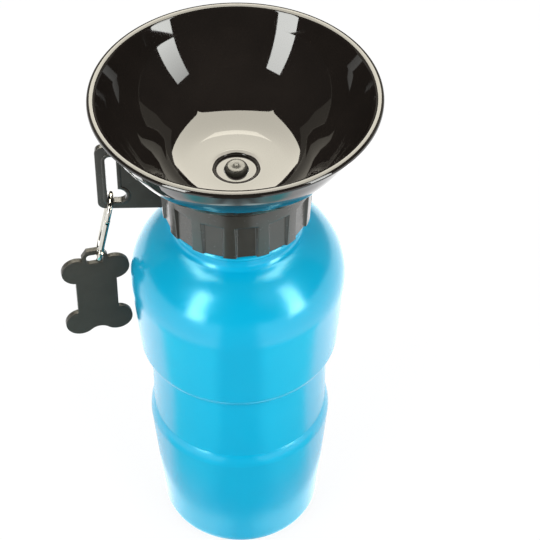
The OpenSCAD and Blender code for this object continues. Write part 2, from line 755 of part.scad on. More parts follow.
module hook_gate() {
    slot = tongue_t + 2 * fork_gap;
    bore_r = 0.75;
    color(bright_steel) at_hook() translate([0, -hook_end_r, 0]) difference() {
        union() {
            translate([0, 0, pivot_z]) cylinder(r = gate_r, h = gate_top_z - pivot_z, $fn = 48);
            translate([0, 0, pivot_z]) intersection() {
                translate([0, 0, -gate_r]) cylinder(r = gate_r, h = gate_r, $fn = 48);
                translate([-gate_r, 0, 0]) rotate([0, 90, 0])
                    cylinder(r = gate_r, h = 2 * gate_r, $fn = 48);
            }
        }
        // the fork at the pivot
        translate([-slot / 2, -2, pivot_z - 2]) cube([slot, 4, 3.2]);
        translate([-2, 0, pivot_z]) rotate([0, 90, 0])
            cylinder(r = rivet_r + push_gap, h = 4, $fn = 48);
        // the slot for the nose's tongue, open to the front
        translate([-slot / 2, -2, gate_top_z - 1.7]) cube([slot, 2 + 0.75, 3]);
        // the bore for the spring
        translate([0, 0, pivot_z + 1]) cylinder(r = bore_r, h = spring_len + 0.6, $fn = 48);
    }
}

// A coil spring inside the gate, which swings the gate shut.
module gate_spring() {
    coils = 8;
    wire = 0.3;
    color(bright_steel) at_hook() translate([0, -hook_end_r, pivot_z + 1.35 + wire])
        helical_rib(
            0.56, 0.6, 0, (spring_len - 2 * wire) / coils, 360 * coils,
            root_w = wire, crest_w = wire, step = 20
        );
}

// ---- bone tag ----

module eye_outline() {
    w = eye_w / 2 - eye_corner;
    h = eye_h / 2 - eye_corner;
    square([eye_w, 2 * h], center = true);
    square([2 * w, eye_h], center = true);
    for (x = [-w, w], z = [-h, h])
        translate([x, z]) circle(r = eye_corner, $fn = 48);
}

module tag_outline() {
    loop_half = eye_w / 2 + 1.85;
    loop_top = eye_z + eye_h / 2 + eye_bar;
    difference() {
        union() {
            square([2 * tag_waist, 2 * lobe_z], center = true);
            square([2 * (lobe_x - 3), 2 * notch_z], center = true);
            for (x = [-lobe_x, lobe_x], z = [-lobe_z, lobe_z])
                translate([x, z]) circle(r = lobe_r, $fn = 72);
            polygon([
                [-loop_half, lobe_z], [loop_half, lobe_z], [loop_half, loop_top - 3.2],
                [loop_half - 2.1, loop_top], [2.1 - loop_half, loop_top],
                [-loop_half, loop_top - 3.2]
            ]);
        }
        translate([0, eye_z]) eye_outline();
    }
}

module bone_tag() {
    color(charcoal)
        translate([hook_foot.x, 0, hook_foot.z - wire_in_eye.y - eye_z])
            rotate([0, 0, tag_turn]) translate([-wire_in_eye.x, 0, 0])
                rotate([90, 0, 0]) linear_extrude(height = tag_t, center = true) tag_outline();
}

bottle_body();
neck_seal();
screw_collar();
valve_post();
post_seal();
dip_tube();
bowl();
bowl_seal();
hook_frame();
gate_rivet();
hook_gate();
gate_spring();
bone_tag();
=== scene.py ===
"""Travel water bottle for dogs: a squeeze bottle with a drinking bowl on its screw collar.

Lengths are written in millimetres and put into the scene in metres. The origin is on the
bottle's axis at the level it stands on, +Z is up, and the hanger stands out towards -X.
"""

from __future__ import annotations

import logging
import math
from dataclasses import dataclass, field
from enum import Enum
from typing import Any, Callable, Iterable, Sequence

import bmesh
import bpy
from mathutils import Matrix, Vector


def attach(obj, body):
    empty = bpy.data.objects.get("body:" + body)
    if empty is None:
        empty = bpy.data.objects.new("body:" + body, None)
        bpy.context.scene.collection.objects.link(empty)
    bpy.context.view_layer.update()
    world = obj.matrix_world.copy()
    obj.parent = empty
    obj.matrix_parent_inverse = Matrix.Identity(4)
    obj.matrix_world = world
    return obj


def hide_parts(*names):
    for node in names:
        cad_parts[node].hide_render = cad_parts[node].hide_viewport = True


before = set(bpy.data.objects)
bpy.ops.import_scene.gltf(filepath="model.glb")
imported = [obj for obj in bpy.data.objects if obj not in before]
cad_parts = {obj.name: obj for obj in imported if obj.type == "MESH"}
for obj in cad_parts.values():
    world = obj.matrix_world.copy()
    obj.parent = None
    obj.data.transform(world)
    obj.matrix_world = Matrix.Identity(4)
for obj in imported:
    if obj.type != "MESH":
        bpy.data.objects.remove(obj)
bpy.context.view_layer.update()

MM = 0.001
# points closer than this, in millimetres, are one
MERGE = 1e-4
LOG = logging.getLogger("bottle")

Point = tuple[float, float]
Place = tuple[float, float, float]
Colour = tuple[float, float, float]


class Body(str, Enum):
    """The bodies of the frame that pieces ride on."""

    BOTTLE = "bottle"
    CAP_CORE = "cap_core"
    COLLAR = "collar"
    BOWL = "bowl"
    HOOK = "snap_hook"
    GATE = "gate"
    TAG = "tag"


class Slot(str, Enum):
    """The material slots of the record."""

    BLUE = "blue_plastic"
    CHARCOAL = "charcoal_plastic"
    BLACK = "black_plastic"
    BRIGHT = "bright_metal"


# ---------------------------------------------------------------- outlines


def arc(centre: Point, radius: float, start: float, end: float, steps: int = 12) -> list[Point]:
    """Gives points of an arc.

    Args:
        centre: Middle of the arc.
        radius: Radius of the arc.
        start: First angle in degrees.
        end: Last angle in degrees.
        steps: Number of segments.

    Returns:
        The points from start to end.
    """
    angles = [math.radians(start + (end - start) * i / steps) for i in range(steps + 1)]
    return [(centre[0] + radius * math.cos(a), centre[1] + radius * math.sin(a)) for a in angles]


def ogee(foot: Point, shift: float, first: float, second: float, steps: int = 12) -> list[Point]:
    """Gives the smooth sideways shift of a wall that climbs.

    Args:
        foot: Point where the shift begins.
        shift: Sideways distance, outwards if positive.
        first: Radius of the arc that leaves the wall.
        second: Radius of the arc that joins it again.
        steps: Number of segments in each arc.

    Returns:
        The points of both arcs.
    """
    side = math.copysign(1.0, shift)
    turn = math.acos(1 - abs(shift) / (first + second))
    head = (foot[0] + shift, foot[1] + (first + second) * math.sin(turn))
    low = [turn * i / steps for i in range(steps + 1)]
    high = [turn * i / steps for i in range(steps - 1, -1, -1)]
    leave = [
        (foot[0] + side * first * (1 - math.cos(a)), foot[1] + first * math.sin(a)) for a in low
    ]
    join = [
        (head[0] - side * second * (1 - math.cos(a)), head[1] - second * math.sin(a)) for a in high
    ]
    return leave + join


def inset(line: Sequence[Point], distance: float) -> list[Point]:
    """Gives the line at a distance to the left of a line of points.

    Args:
        line: The points of the line.
        distance: Distance to the left.

    Returns:
        One point for each point of the line.
    """

    def left(a: Point, b: Point) -> Vector:
        """Unit vector to the left of the way from a to b."""
        return Vector((a[1] - b[1], b[0] - a[0])).normalized()

    made: list[Point] = []
    for i, point in enumerate(line):
        before = left(line[i - 1], point) if i else left(line[0], line[1])
        after = left(point, line[i + 1]) if i < len(line) - 1 else before
        mean = (before + after).normalized()
        moved = Vector(point) + mean * (distance / mean.dot(before))
        made.append((moved.x, moved.y))
    return made


def angle_of(centre: Point, point: Point) -> float:
    """Angle in degrees of a point seen from a centre."""
    return math.degrees(math.atan2(point[1] - centre[1], point[0] - centre[0]))


def meet_inside(
    first: Point, first_r: float, second: Point, second_r: float, radius: float
) -> Point:
    """Gives the centre of a fillet that touches two hollow curves from inside.

    Args:
        first: Centre of the first curve.
        first_r: Its radius.
        second: Centre of the second curve.
        second_r: Its radius.
        radius: Radius of the fillet.

    Returns:
        The fillet's centre, on the outer side.
    """
    way = Vector(second) - Vector(first)
    a, b, gap = first_r - radius, second_r - radius, way.length
    along = (a * a - b * b + gap * gap) / (2 * gap)
    off = math.sqrt(a * a - along * along)
    unit = way / gap
    return (
        first[0] + along * unit.x - off * unit.y,
        first[1] + along * unit.y + off * unit.x,
    )


# ---------------------------------------------------------------- shapes


def spin(
    bm: bmesh.types.BMesh,
    geom: Sequence[Any],
    angle: float,
    steps: int,
    centre: Place = (0.0, 0.0, 0.0),
    axis: Place = (0.0, 0.0, 1.0),
    rise: float = 0.0,
    merge: bool = False,
) -> dict[str, Any]:
    """Sweeps part of a mesh about an axis.

    Args:
        bm: The mesh.
        geom: The part of it that is swept.
        angle: Angle of the whole sweep, in radians.
        steps: Number of segments.
        centre: A point on the axis.
        axis: Direction of the axis.
        rise: Climb in each step.
        merge: Whether the end of a full turn joins its start.

    Returns:
        What the operator gives.
    """
    return bmesh.ops.spin(
        bm, geom=geom, cent=centre, axis=axis, dvec=(0, 0, rise), angle=angle, steps=steps,
        use_merge=merge, use_normal_flip=False, use_duplicate=False,
    )


class Shape:
    """A mesh in the making, in millimetres."""

    def __init__(self) -> None:
        """Starts an empty shape."""
        self.bm = bmesh.new()

    @classmethod
    def lathe(cls, profile: Sequence[Point], steps: int = 160, ring: bool = False) -> Shape:
        """Turns a profile round the Z axis.

        Args:
            profile: Radius and height of each point, in order.
            steps: Number of segments round the axis.
            ring: Whether the profile closes on itself instead of ending on the axis.

        Returns:
            The turned shape.
        """
        shape = cls()
        bm = shape.bm
        verts = [bm.verts.new((r, 0.0, z)) for r, z in profile]
        edges = [bm.edges.new(pair) for pair in zip(verts, verts[1:])]
        if ring:
            edges.append(bm.edges.new((verts[-1], verts[0])))
        spin(bm, verts + edges, math.tau, steps, merge=True)
        bmesh.ops.remove_doubles(bm, verts=bm.verts, dist=MERGE)
        bmesh.ops.dissolve_degenerate(bm, dist=MERGE / 10, edges=bm.edges)
        bmesh.ops.recalc_face_normals(bm, faces=bm.faces)
        return shape

    @classmethod
    def plate(
        cls,
        outline: Sequence[Point],
        holes: Sequence[Sequence[Point]],
        thickness: float,
        edge: float = 0.3,
        rounds: int = 4,
    ) -> Shape:
        """Makes a flat plate in the XY plane, with rounded edges, half on each side of it.

        Args:
            outline: Points round the outside.
            holes: Points round each hole.
            thickness: Thickness of the plate.
            edge: Radius of its rounded edges.
            rounds: Number of segments in a rounded edge.

        Returns:
            The closed plate.
        """
        shape = cls()
        bm = shape.bm
        level = thickness / 2 - edge
        edges = []
        for loop in [outline, *holes]:
            verts = [bm.verts.new((x, y, level)) for x, y in loop]
            edges += [bm.edges.new((a, b)) for a, b in zip(verts, verts[1:] + verts[:1])]
        filled = bmesh.ops.triangle_fill(bm, use_beauty=True, use_dissolve=False, edges=edges)
        cap = [f for f in filled["geom"] if isinstance(f, bmesh.types.BMFace)]
        for face in cap:
            if face.normal.z < 0:
                face.normal_flip()
        for i in range(1, rounds + 1):
            a, b = (math.pi / 2 * k / rounds for k in (i - 1, i))
            bmesh.ops.inset_region(
                bm,
                faces=cap,
                use_boundary=True,
                use_even_offset=True,
                thickness=edge * (math.cos(a) - math.cos(b)),
                depth=edge * (math.sin(b) - math.sin(a)),
            )
        rim = [e for e in bm.edges if e.is_boundary]
        grown = bmesh.ops.extrude_edge_only(bm, edges=rim)
        foot = [v for v in grown["geom"] if isinstance(v, bmesh.types.BMVert)]
        bmesh.ops.translate(bm, verts=foot, vec=(0, 0, -level))
        whole = bm.verts[:] + bm.edges[:] + bm.faces[:]
        bmesh.ops.mirror(bm, geom=whole, axis="Z", merge_dist=MERGE)
        bmesh.ops.remove_doubles(bm, verts=bm.verts, dist=MERGE)
        bmesh.ops.recalc_face_normals(bm, faces=bm.faces)
        return shape

    @classmethod
    def rib(
        cls,
        root: Point,
        crest: Point,
        level: float,
        pitch: float,
        angle: float,
        start: float = 0.0,
        fade: float = 20.0,
        sink: float = 0.3,
    ) -> Shape:
        """Makes a helical rib with a trapezium section, for a screw thread.

        Args:
            root: Radius and width of its root.
            crest: Radius and width of its crest.
            level: Height of its middle at the start.
            pitch: Rise in one turn.
            angle: Angle that it covers, in degrees.
            start: Angle where it begins.
            fade: Angle over which each end grows out of the wall.
            sink: How far the root is sunk into the wall.

        Returns:
            The closed rib.
        """
        shape = cls()
        bm = shape.bm
        segment, lowest, on_crest = 4.0, 0.08, 1e-3
        count = math.ceil(angle / segment)
        inner = root[0] - math.copysign(sink, crest[0] - root[0])
        section = [
            (inner, -root[1] / 2),
            (crest[0], -crest[1] / 2),
            (crest[0], crest[1] / 2),
            (inner, root[1] / 2),
        ]
        face = bm.faces.new([bm.verts.new((r, 0.0, level + z)) for r, z in section])
        spin(bm, [face], math.radians(angle), count, rise=pitch * angle / 360 / count)
        for vert in bm.verts:
            radius = math.hypot(vert.co.x, vert.co.y)
            if abs(radius - crest[0]) > on_crest:
                continue
            turned = cls.turned_on_rib(vert.co, level, crest[1], pitch)
            height = max(lowest, min(1.0, turned / fade, (angle - turned) / fade))
            wanted = root[0] + (crest[0] - root[0]) * height
            vert.co.x *= wanted / radius
            vert.co.y *= wanted / radius
        bmesh.ops.recalc_face_normals(bm, faces=bm.faces)
        shape.turn(start, "Z")
        return shape

    @staticmethod
    def turned_on_rib(point: Vector, level: float, width: float, pitch: float) -> float:
        """Gives how far along a rib a point on an edge of its crest lies.

        Args:
            point: The point.
            level: Height of the rib's middle at its start.
            width: Width of the crest.
            pitch: Rise in one turn.

        Returns:
            The angle from the rib's start, in degrees.
        """
        seen = math.degrees(math.atan2(point.y, point.x))
        tries = [360 * (point.z - level - side * width / 2) / pitch for side in (-1, 1)]
        return min(tries, key=lambda turned: abs((turned - seen + 180) % 360 - 180))

    @classmethod
    def box(cls, low: Sequence[float], high: Sequence[float]) -> Shape:
        """Makes a block, for a cut or a small tongue.

        Args:
            low: Its lowest corner.
            high: Its highest corner.

        Returns:
            The block.
        """
        shape = cls()
        size = [b - a for a, b in zip(low, high)]
        middle = [(a + b) / 2 for a, b in zip(low, high)]
        bmesh.ops.create_cube(shape.bm, size=1.0)
        bmesh.ops.scale(shape.bm, vec=size, verts=shape.bm.verts)
        bmesh.ops.translate(shape.bm, vec=middle, verts=shape.bm.verts)
        return shape

    @classmethod
    def rod(cls, radius: float, low: float, high: float, steps: int = 48) -> Shape:
        """Makes a closed rod along Z."""
        return cls.lathe([(0, low), (radius, low), (radius, high), (0, high)], steps)

    def place(self, matrix: Matrix) -> Shape:
        """Moves the whole shape by a matrix."""
        bmesh.ops.transform(self.bm, matrix=matrix, verts=self.bm.verts)
        return self

    def turn(self, degrees: float, axis: str) -> Shape:
        """Turns the shape about an axis through the origin."""
        return self.place(Matrix.Rotation(math.radians(degrees), 4, axis))

    def move(self, x: float = 0.0, y: float = 0.0, z: float = 0.0) -> Shape:
        """Moves the shape."""
        return self.place(Matrix.Translation((x, y, z)))

    def add(self, other: Shape) -> Shape:
        """Takes in another shape's mesh beside its own.

        Args:
            other: The shape, which is used up.

        Returns:
            This shape.
        """
        spare = bpy.data.meshes.new("spare")
        other.bm.to_mesh(spare)
        self.bm.from_mesh(spare)
        bpy.data.meshes.remove(spare)
        other.bm.free()
        return self

    def _object(self, name: str) -> bpy.types.Object:
        """Makes a temporary object of the shape.

        Args:
            name: Name of the object.

        Returns:
            The object.
        """
        mesh = bpy.data.meshes.new(name)
        self.bm.to_mesh(mesh)
        made = bpy.data.objects.new(name, mesh)
        bpy.context.scene.collection.objects.link(made)
        return made

    def _combine(self, other: Shape, operation: str) -> Shape:
        """Cuts or joins another shape with an exact boolean.

        Args:
            other: The shape to cut with or to join.
            operation: DIFFERENCE or UNION.

        Returns:
            This shape.
        """
        work, tool = self._object("work"), other._object("tool")
        change = work.modifiers.new("change", "BOOLEAN")
        change.object, change.operation, change.solver = tool, operation, "EXACT"
        change.use_self = True
        ready = work.evaluated_get(bpy.context.evaluated_depsgraph_get())
        mesh = bpy.data.meshes.new_from_object(ready)
        self.bm.clear()
        self.bm.from_mesh(mesh)
        spare = [mesh, work.data, tool.data]
        for thing in (work, tool):
            bpy.data.objects.remove(thing)
        for old in spare:
            bpy.data.meshes.remove(old)
        other.bm.free()
        bmesh.ops.remove_doubles(self.bm, verts=self.bm.verts, dist=MERGE)
        bmesh.ops.dissolve_degenerate(self.bm, dist=MERGE, edges=self.bm.edges)
        self._reorder()
        return self

    def _reorder(self) -> None:
        """Gives the mesh a fixed order, because a boolean's own order changes from run to run."""
        for items in (self.bm.verts, self.bm.edges, self.bm.faces):
            middles = {}
            for item in items:
                ends = getattr(item, "verts", [item])
                middles[item] = [round(sum(v.co[i] for v in ends) / len(ends), 4) for i in range(3)]
            for rank, item in enumerate(sorted(items, key=middles.get)):
                item.index = rank
            items.sort()
        mesh = bpy.data.meshes.new("ordered")
        self.bm.to_mesh(mesh)
        self.bm.clear()
        self.bm.from_mesh(mesh)
        bpy.data.meshes.remove(mesh)

    def cut(self, other: Shape) -> Shape:
        """Takes another shape's volume away."""
        return self._combine(other, "DIFFERENCE")

    def join(self, other: Shape) -> Shape:
        """Unites another shape's volume with this one."""
        return self._combine(other, "UNION")

    def soften(
        self,
        offset: float,
        segments: int = 2,
        angle: float = 28.0,
        where: Callable[[Vector], bool] | None = None,
    ) -> Shape:
        """Rounds the sharp edges.

        Args:
            offset: Width of the rounding.
            segments: Number of segments in it.
            angle: Edges that turn by more degrees than this are rounded.
            where: Test that an edge's middle has to pass, or None for all.

        Returns:
            This shape.
        """
        level_enough = math.radians(0.4)
        bmesh.ops.dissolve_limit(
            self.bm, angle_limit=level_enough, use_dissolve_boundaries=False,
            verts=self.bm.verts, edges=self.bm.edges, delimit={"NORMAL"},
        )
        sharp = [
            e for e in self.bm.edges
            if len(e.link_faces) == 2
            and e.calc_face_angle(0.0) > math.radians(angle)
            and (where is None or where((e.verts[0].co + e.verts[1].co) / 2))
        ]
        bmesh.ops.bevel(
            self.bm, geom=sharp, offset=offset, offset_type="OFFSET", affect="EDGES",
            segments=segments, profile=0.5, material=-1, clamp_overlap=True, loop_slide=True,
        )
        return self

    def piece(
        self,
        name: str,
        finish: bpy.types.Material,
        body: Body,
        slot: Slot,
        nodes: Iterable[str] = (),
        crease: float = 40.0,
        weighted: bool = True,
    ) -> bpy.types.Object:
        """Makes the finished piece and puts it on its body.

        Args:
            name: Name of the piece.
            finish: Its material.
            body: Body of the frame that it rides on.
            slot: Material slot of the record; not used.
            nodes: CAD nodes that it stands for.
            crease: Edges that turn by more degrees than this stay sharp.
            weighted: Whether large faces keep the shading flat beside small roundings.

        Returns:
            The piece.
        """
        mesh = bpy.data.meshes.new(name)
        bmesh.ops.scale(self.bm, vec=(MM, MM, MM), verts=self.bm.verts)
        for face in self.bm.faces:
            face.smooth = True
        self.bm.to_mesh(mesh)
        self.bm.free()
        mesh.set_sharp_from_angle(angle=math.radians(crease))
        mesh.materials.append(finish)
        made = bpy.data.objects.new(name, mesh)
        bpy.context.scene.collection.objects.link(made)
        if weighted:
            flat = made.modifiers.new("flat faces", "WEIGHTED_NORMAL")
            flat.keep_sharp = True
            flat.weight = 70
        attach(made, body.value)
        if nodes:
            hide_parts(*nodes)
        mesh.calc_loop_triangles()
        LOG.info("%s: %d triangles on %s", name, len(mesh.loop_triangles), body.value)
        return made


# ---------------------------------------------------------------- finishes


class Graph:
    """A node material in the making."""

    def __init__(self, name: str) -> None:
        """Starts a material with an output and nothing else.

        Args:
            name: Name of the material.
        """
        self.material = bpy.data.materials.new(name)
        self.material.use_nodes = True
        self.tree = self.material.node_tree
        self.tree.nodes.clear()
        self.output = self.tree.nodes.new("ShaderNodeOutputMaterial")

    def node(self, kind: str, inputs: dict[Any, Any] | None = None, **settings: Any) -> Any:
        """Adds a node.

        Args:
            kind: Type of the node, without its ShaderNode prefix.
            inputs: A value or another node's output for each named or numbered input.
            settings: Properties of the node.

        Returns:
            The node.
        """
        made = self.tree.nodes.new("ShaderNode" + kind)
        for key, value in settings.items():
            setattr(made, key, value)
        for key, value in (inputs or {}).items():
            if isinstance(value, bpy.types.NodeSocket):
                self.tree.links.new(value, made.inputs[key])
            else:
                made.inputs[key].default_value = value
        return made

    def place(self) -> Any:
        """Gives the place on the object, in metres."""
        return self.node("TexCoord").outputs["Object"]

    def noise(
        self,
        size: float,
        detail: float = 2.0,
        where: Any = None,
        stretch: Sequence[float] | None = None,
    ) -> Any:
        """Gives an even random pattern.

        Args:
            size: Size of its features in millimetres.
            detail: Number of finer layers.
            where: Coordinates, or None for the place on the object.
            stretch: Scale of the coordinates along each axis.

        Returns:
            The pattern's value, about 0.5 on average.
        """
        where = where or self.place()
        if stretch:
            where = self.node("Mapping", {"Vector": where, "Scale": stretch}).outputs["Vector"]
        inputs = {"Vector": where, "Scale": 1 / (size * MM), "Detail": detail, "Roughness": 0.55}
        return self.node("TexNoise", inputs).outputs["Fac"]

    def between(
        self, value: Any, low: float, high: float, start: float = 0.3, end: float = 0.7
    ) -> Any:
        """Maps a pattern's value to a range.

        Args:
            value: The pattern.
            low: Result at start.
            high: Result at end.
            start: Value that gives low.
            end: Value that gives high.

        Returns:
            The mapped value.
        """
        inputs = {
            "Value": value, "From Min": start, "From Max": end, "To Min": low, "To Max": high,
        }
        return self.node("MapRange", inputs).outputs["Result"]

    def math(self, operation: str, first: Any, second: Any = 0.0) -> Any:
        """Gives the result of a sum on one or two values."""
        return self.node("Math", {0: first, 1: second}, operation=operation).outputs[0]

    def blend(self, factor: Any, first: Colour, second: Colour) -> Any:
        """Gives a colour between two colours."""
        made = self.node("Mix", {"Factor": factor}, data_type="RGBA")
        made.inputs[6].default_value = (*first, 1)
        made.inputs[7].default_value = (*second, 1)
        return made.outputs[2]

    def bump(self, height: Any, depth: float, strength: float = 1.0, under: Any = None) -> Any:
        """Gives the surface's normal over a height pattern.

        Args:
            height: The pattern, from 0 to 1.
            depth: Depth of the pattern in millimetres.
            strength: Strength of the bump.
            under: Normal of a bump beneath this one.

        Returns:
            The normal.
        """
        inputs = {"Height": height, "Distance": depth * MM, "Strength": strength}
        if under is not None:
            inputs["Normal"] = under
        return self.node("Bump", inputs).outputs["Normal"]

    def finish(self, shader: Any) -> bpy.types.Material:
        """Links the shader to the output and gives the material."""
        self.tree.links.new(shader, self.output.inputs["Surface"])
        return self.material


@dataclass(frozen=True)
class Plastic:
    """A moulded plastic.

    Attributes:
        name: Name of the material.
        colour: Its linear colour.
        patch: A second colour that it drifts to in soft patches.
        patch_size: Size of the patches in millimetres.
        gloss: Lowest and highest roughness.
        ior: Index of refraction.
        tint: Colour of its reflection where it is looked at straight.
        ripple: Size and depth of the slow unevenness of its face.
        grain: Size and depth of its fine grain.
    """

    name: str
    colour: Colour
    patch: Colour
    patch_size: float = 12.0
    gloss: Point = (0.2, 0.3)
    ior: float = 1.5
    tint: Colour = (1.0, 1.0, 1.0)
    ripple: Point = (14.0, 0.02)
    grain: Point = (0.4, 0.004)

    def make(self) -> bpy.types.Material:
        """Builds the material.

        Returns:
            The material.
        """
        graph = Graph(self.name)
        where = graph.place()
        soft = graph.noise(self.patch_size, 2, where)
        colour = graph.blend(graph.between(soft, 0, 1), self.colour, self.patch)
        rough = graph.between(graph.noise(self.patch_size / 3, 3, where), *self.gloss)
        slow = graph.bump(graph.noise(self.ripple[0], 1, where), self.ripple[1])
        normal = graph.bump(graph.noise(self.grain[0], 2, where), self.grain[1], 1.0, slow)
        inputs = {
            "Base Color": colour,
            "Roughness": rough,
            "IOR": self.ior,
            "Specular Tint": (*self.tint, 1),
            "Normal": normal,
        }
        return graph.finish(graph.node("BsdfPrincipled", inputs).outputs[0])


@dataclass(frozen=True)
class Metal:
    """A bright metal.

    Attributes:
        name: Name of the material.
        colour: Its linear colour.
        gloss: Lowest and highest roughness.
        scratch: Size and depth of its fine polishing marks.
        dullest: Share of the colour that is left where it is dull.
    """

    name: str
    colour: Colour
    gloss: Point = (0.06, 0.16)
    scratch: Point = (0.6, 0.004)
    dullest: float = 0.82

    def make(self) -> bpy.types.Material:
        """Builds the material.

        Returns:
            The material.
        """
        graph = Graph(self.name)
        where = graph.place()
        dull = tuple(self.dullest * c for c in self.colour)
        patches, smears, along = 2.5, 1.2, (1, 1, 0.12)
        colour = graph.blend(graph.between(graph.noise(patches, 3, where), 0, 1), self.colour, dull)
        rough = graph.between(graph.noise(smears, 3, where), *self.gloss)
        marks = graph.noise(self.scratch[0], 2, where, along)
        normal = graph.bump(marks, self.scratch[1])
        inputs = {"Base Color": colour, "Metallic": 1.0, "Roughness": rough, "Normal": normal}
        return graph.finish(graph.node("BsdfPrincipled", inputs).outputs[0])


class Finishes:
    """All finishes of the object, made once."""

    def __init__(self) -> None:
        """Builds the materials."""
        self.blue = Plastic(
            "blue blown plastic", colour=(0.0, 0.34, 0.555), patch=(0.0, 0.355, 0.57),
            patch_size=26, gloss=(0.19, 0.24), ior=1.5, tint=(0.5, 0.96, 1.0),
            ripple=(9.0, 0.012), grain=(0.5, 0.0012),
        ).make()
        self.black = Plastic(
            "black polished plastic", colour=(0.0092, 0.0074, 0.0062),
            patch=(0.0118, 0.0094, 0.0078), patch_size=18, gloss=(0.02, 0.05), ior=1.4,
            ripple=(10.0, 0.006), grain=(0.35, 0.0006),
        ).make()
        self.charcoal = Plastic(
            "charcoal moulded plastic", colour=(0.0245, 0.023, 0.0185),
            patch=(0.03, 0.0285, 0.023), patch_size=7, gloss=(0.2, 0.28), ior=1.37,
            ripple=(8.0, 0.02), grain=(0.3, 0.005),
        ).make()
        self.flat = Plastic(
            "charcoal tag plastic", colour=(0.033, 0.031, 0.0255), patch=(0.039, 0.0365, 0.03),
            patch_size=6, gloss=(0.38, 0.5), ior=1.25, ripple=(8.0, 0.012), grain=(0.25, 0.005),
        ).make()
        self.natural = Plastic(
            "milky tube plastic", colour=(0.78, 0.8, 0.8), patch=(0.72, 0.75, 0.76),
            patch_size=10, gloss=(0.2, 0.3), ior=1.48, ripple=(8.0, 0.01), grain=(0.3, 0.002),
        ).make()
        self.silicone = Plastic(
            "pale silicone", colour=(0.55, 0.57, 0.58), patch=(0.6, 0.62, 0.62), patch_size=4,
            gloss=(0.5, 0.62), ior=1.42, ripple=(5.0, 0.02), grain=(0.2, 0.004),
        ).make()
        self.chrome = Metal("polished chrome", (0.34, 0.33, 0.3)).make()
        self.spring = Metal("spring steel", (0.5, 0.5, 0.5), (0.2, 0.3)).make()


# ---------------------------------------------------------------- bottle


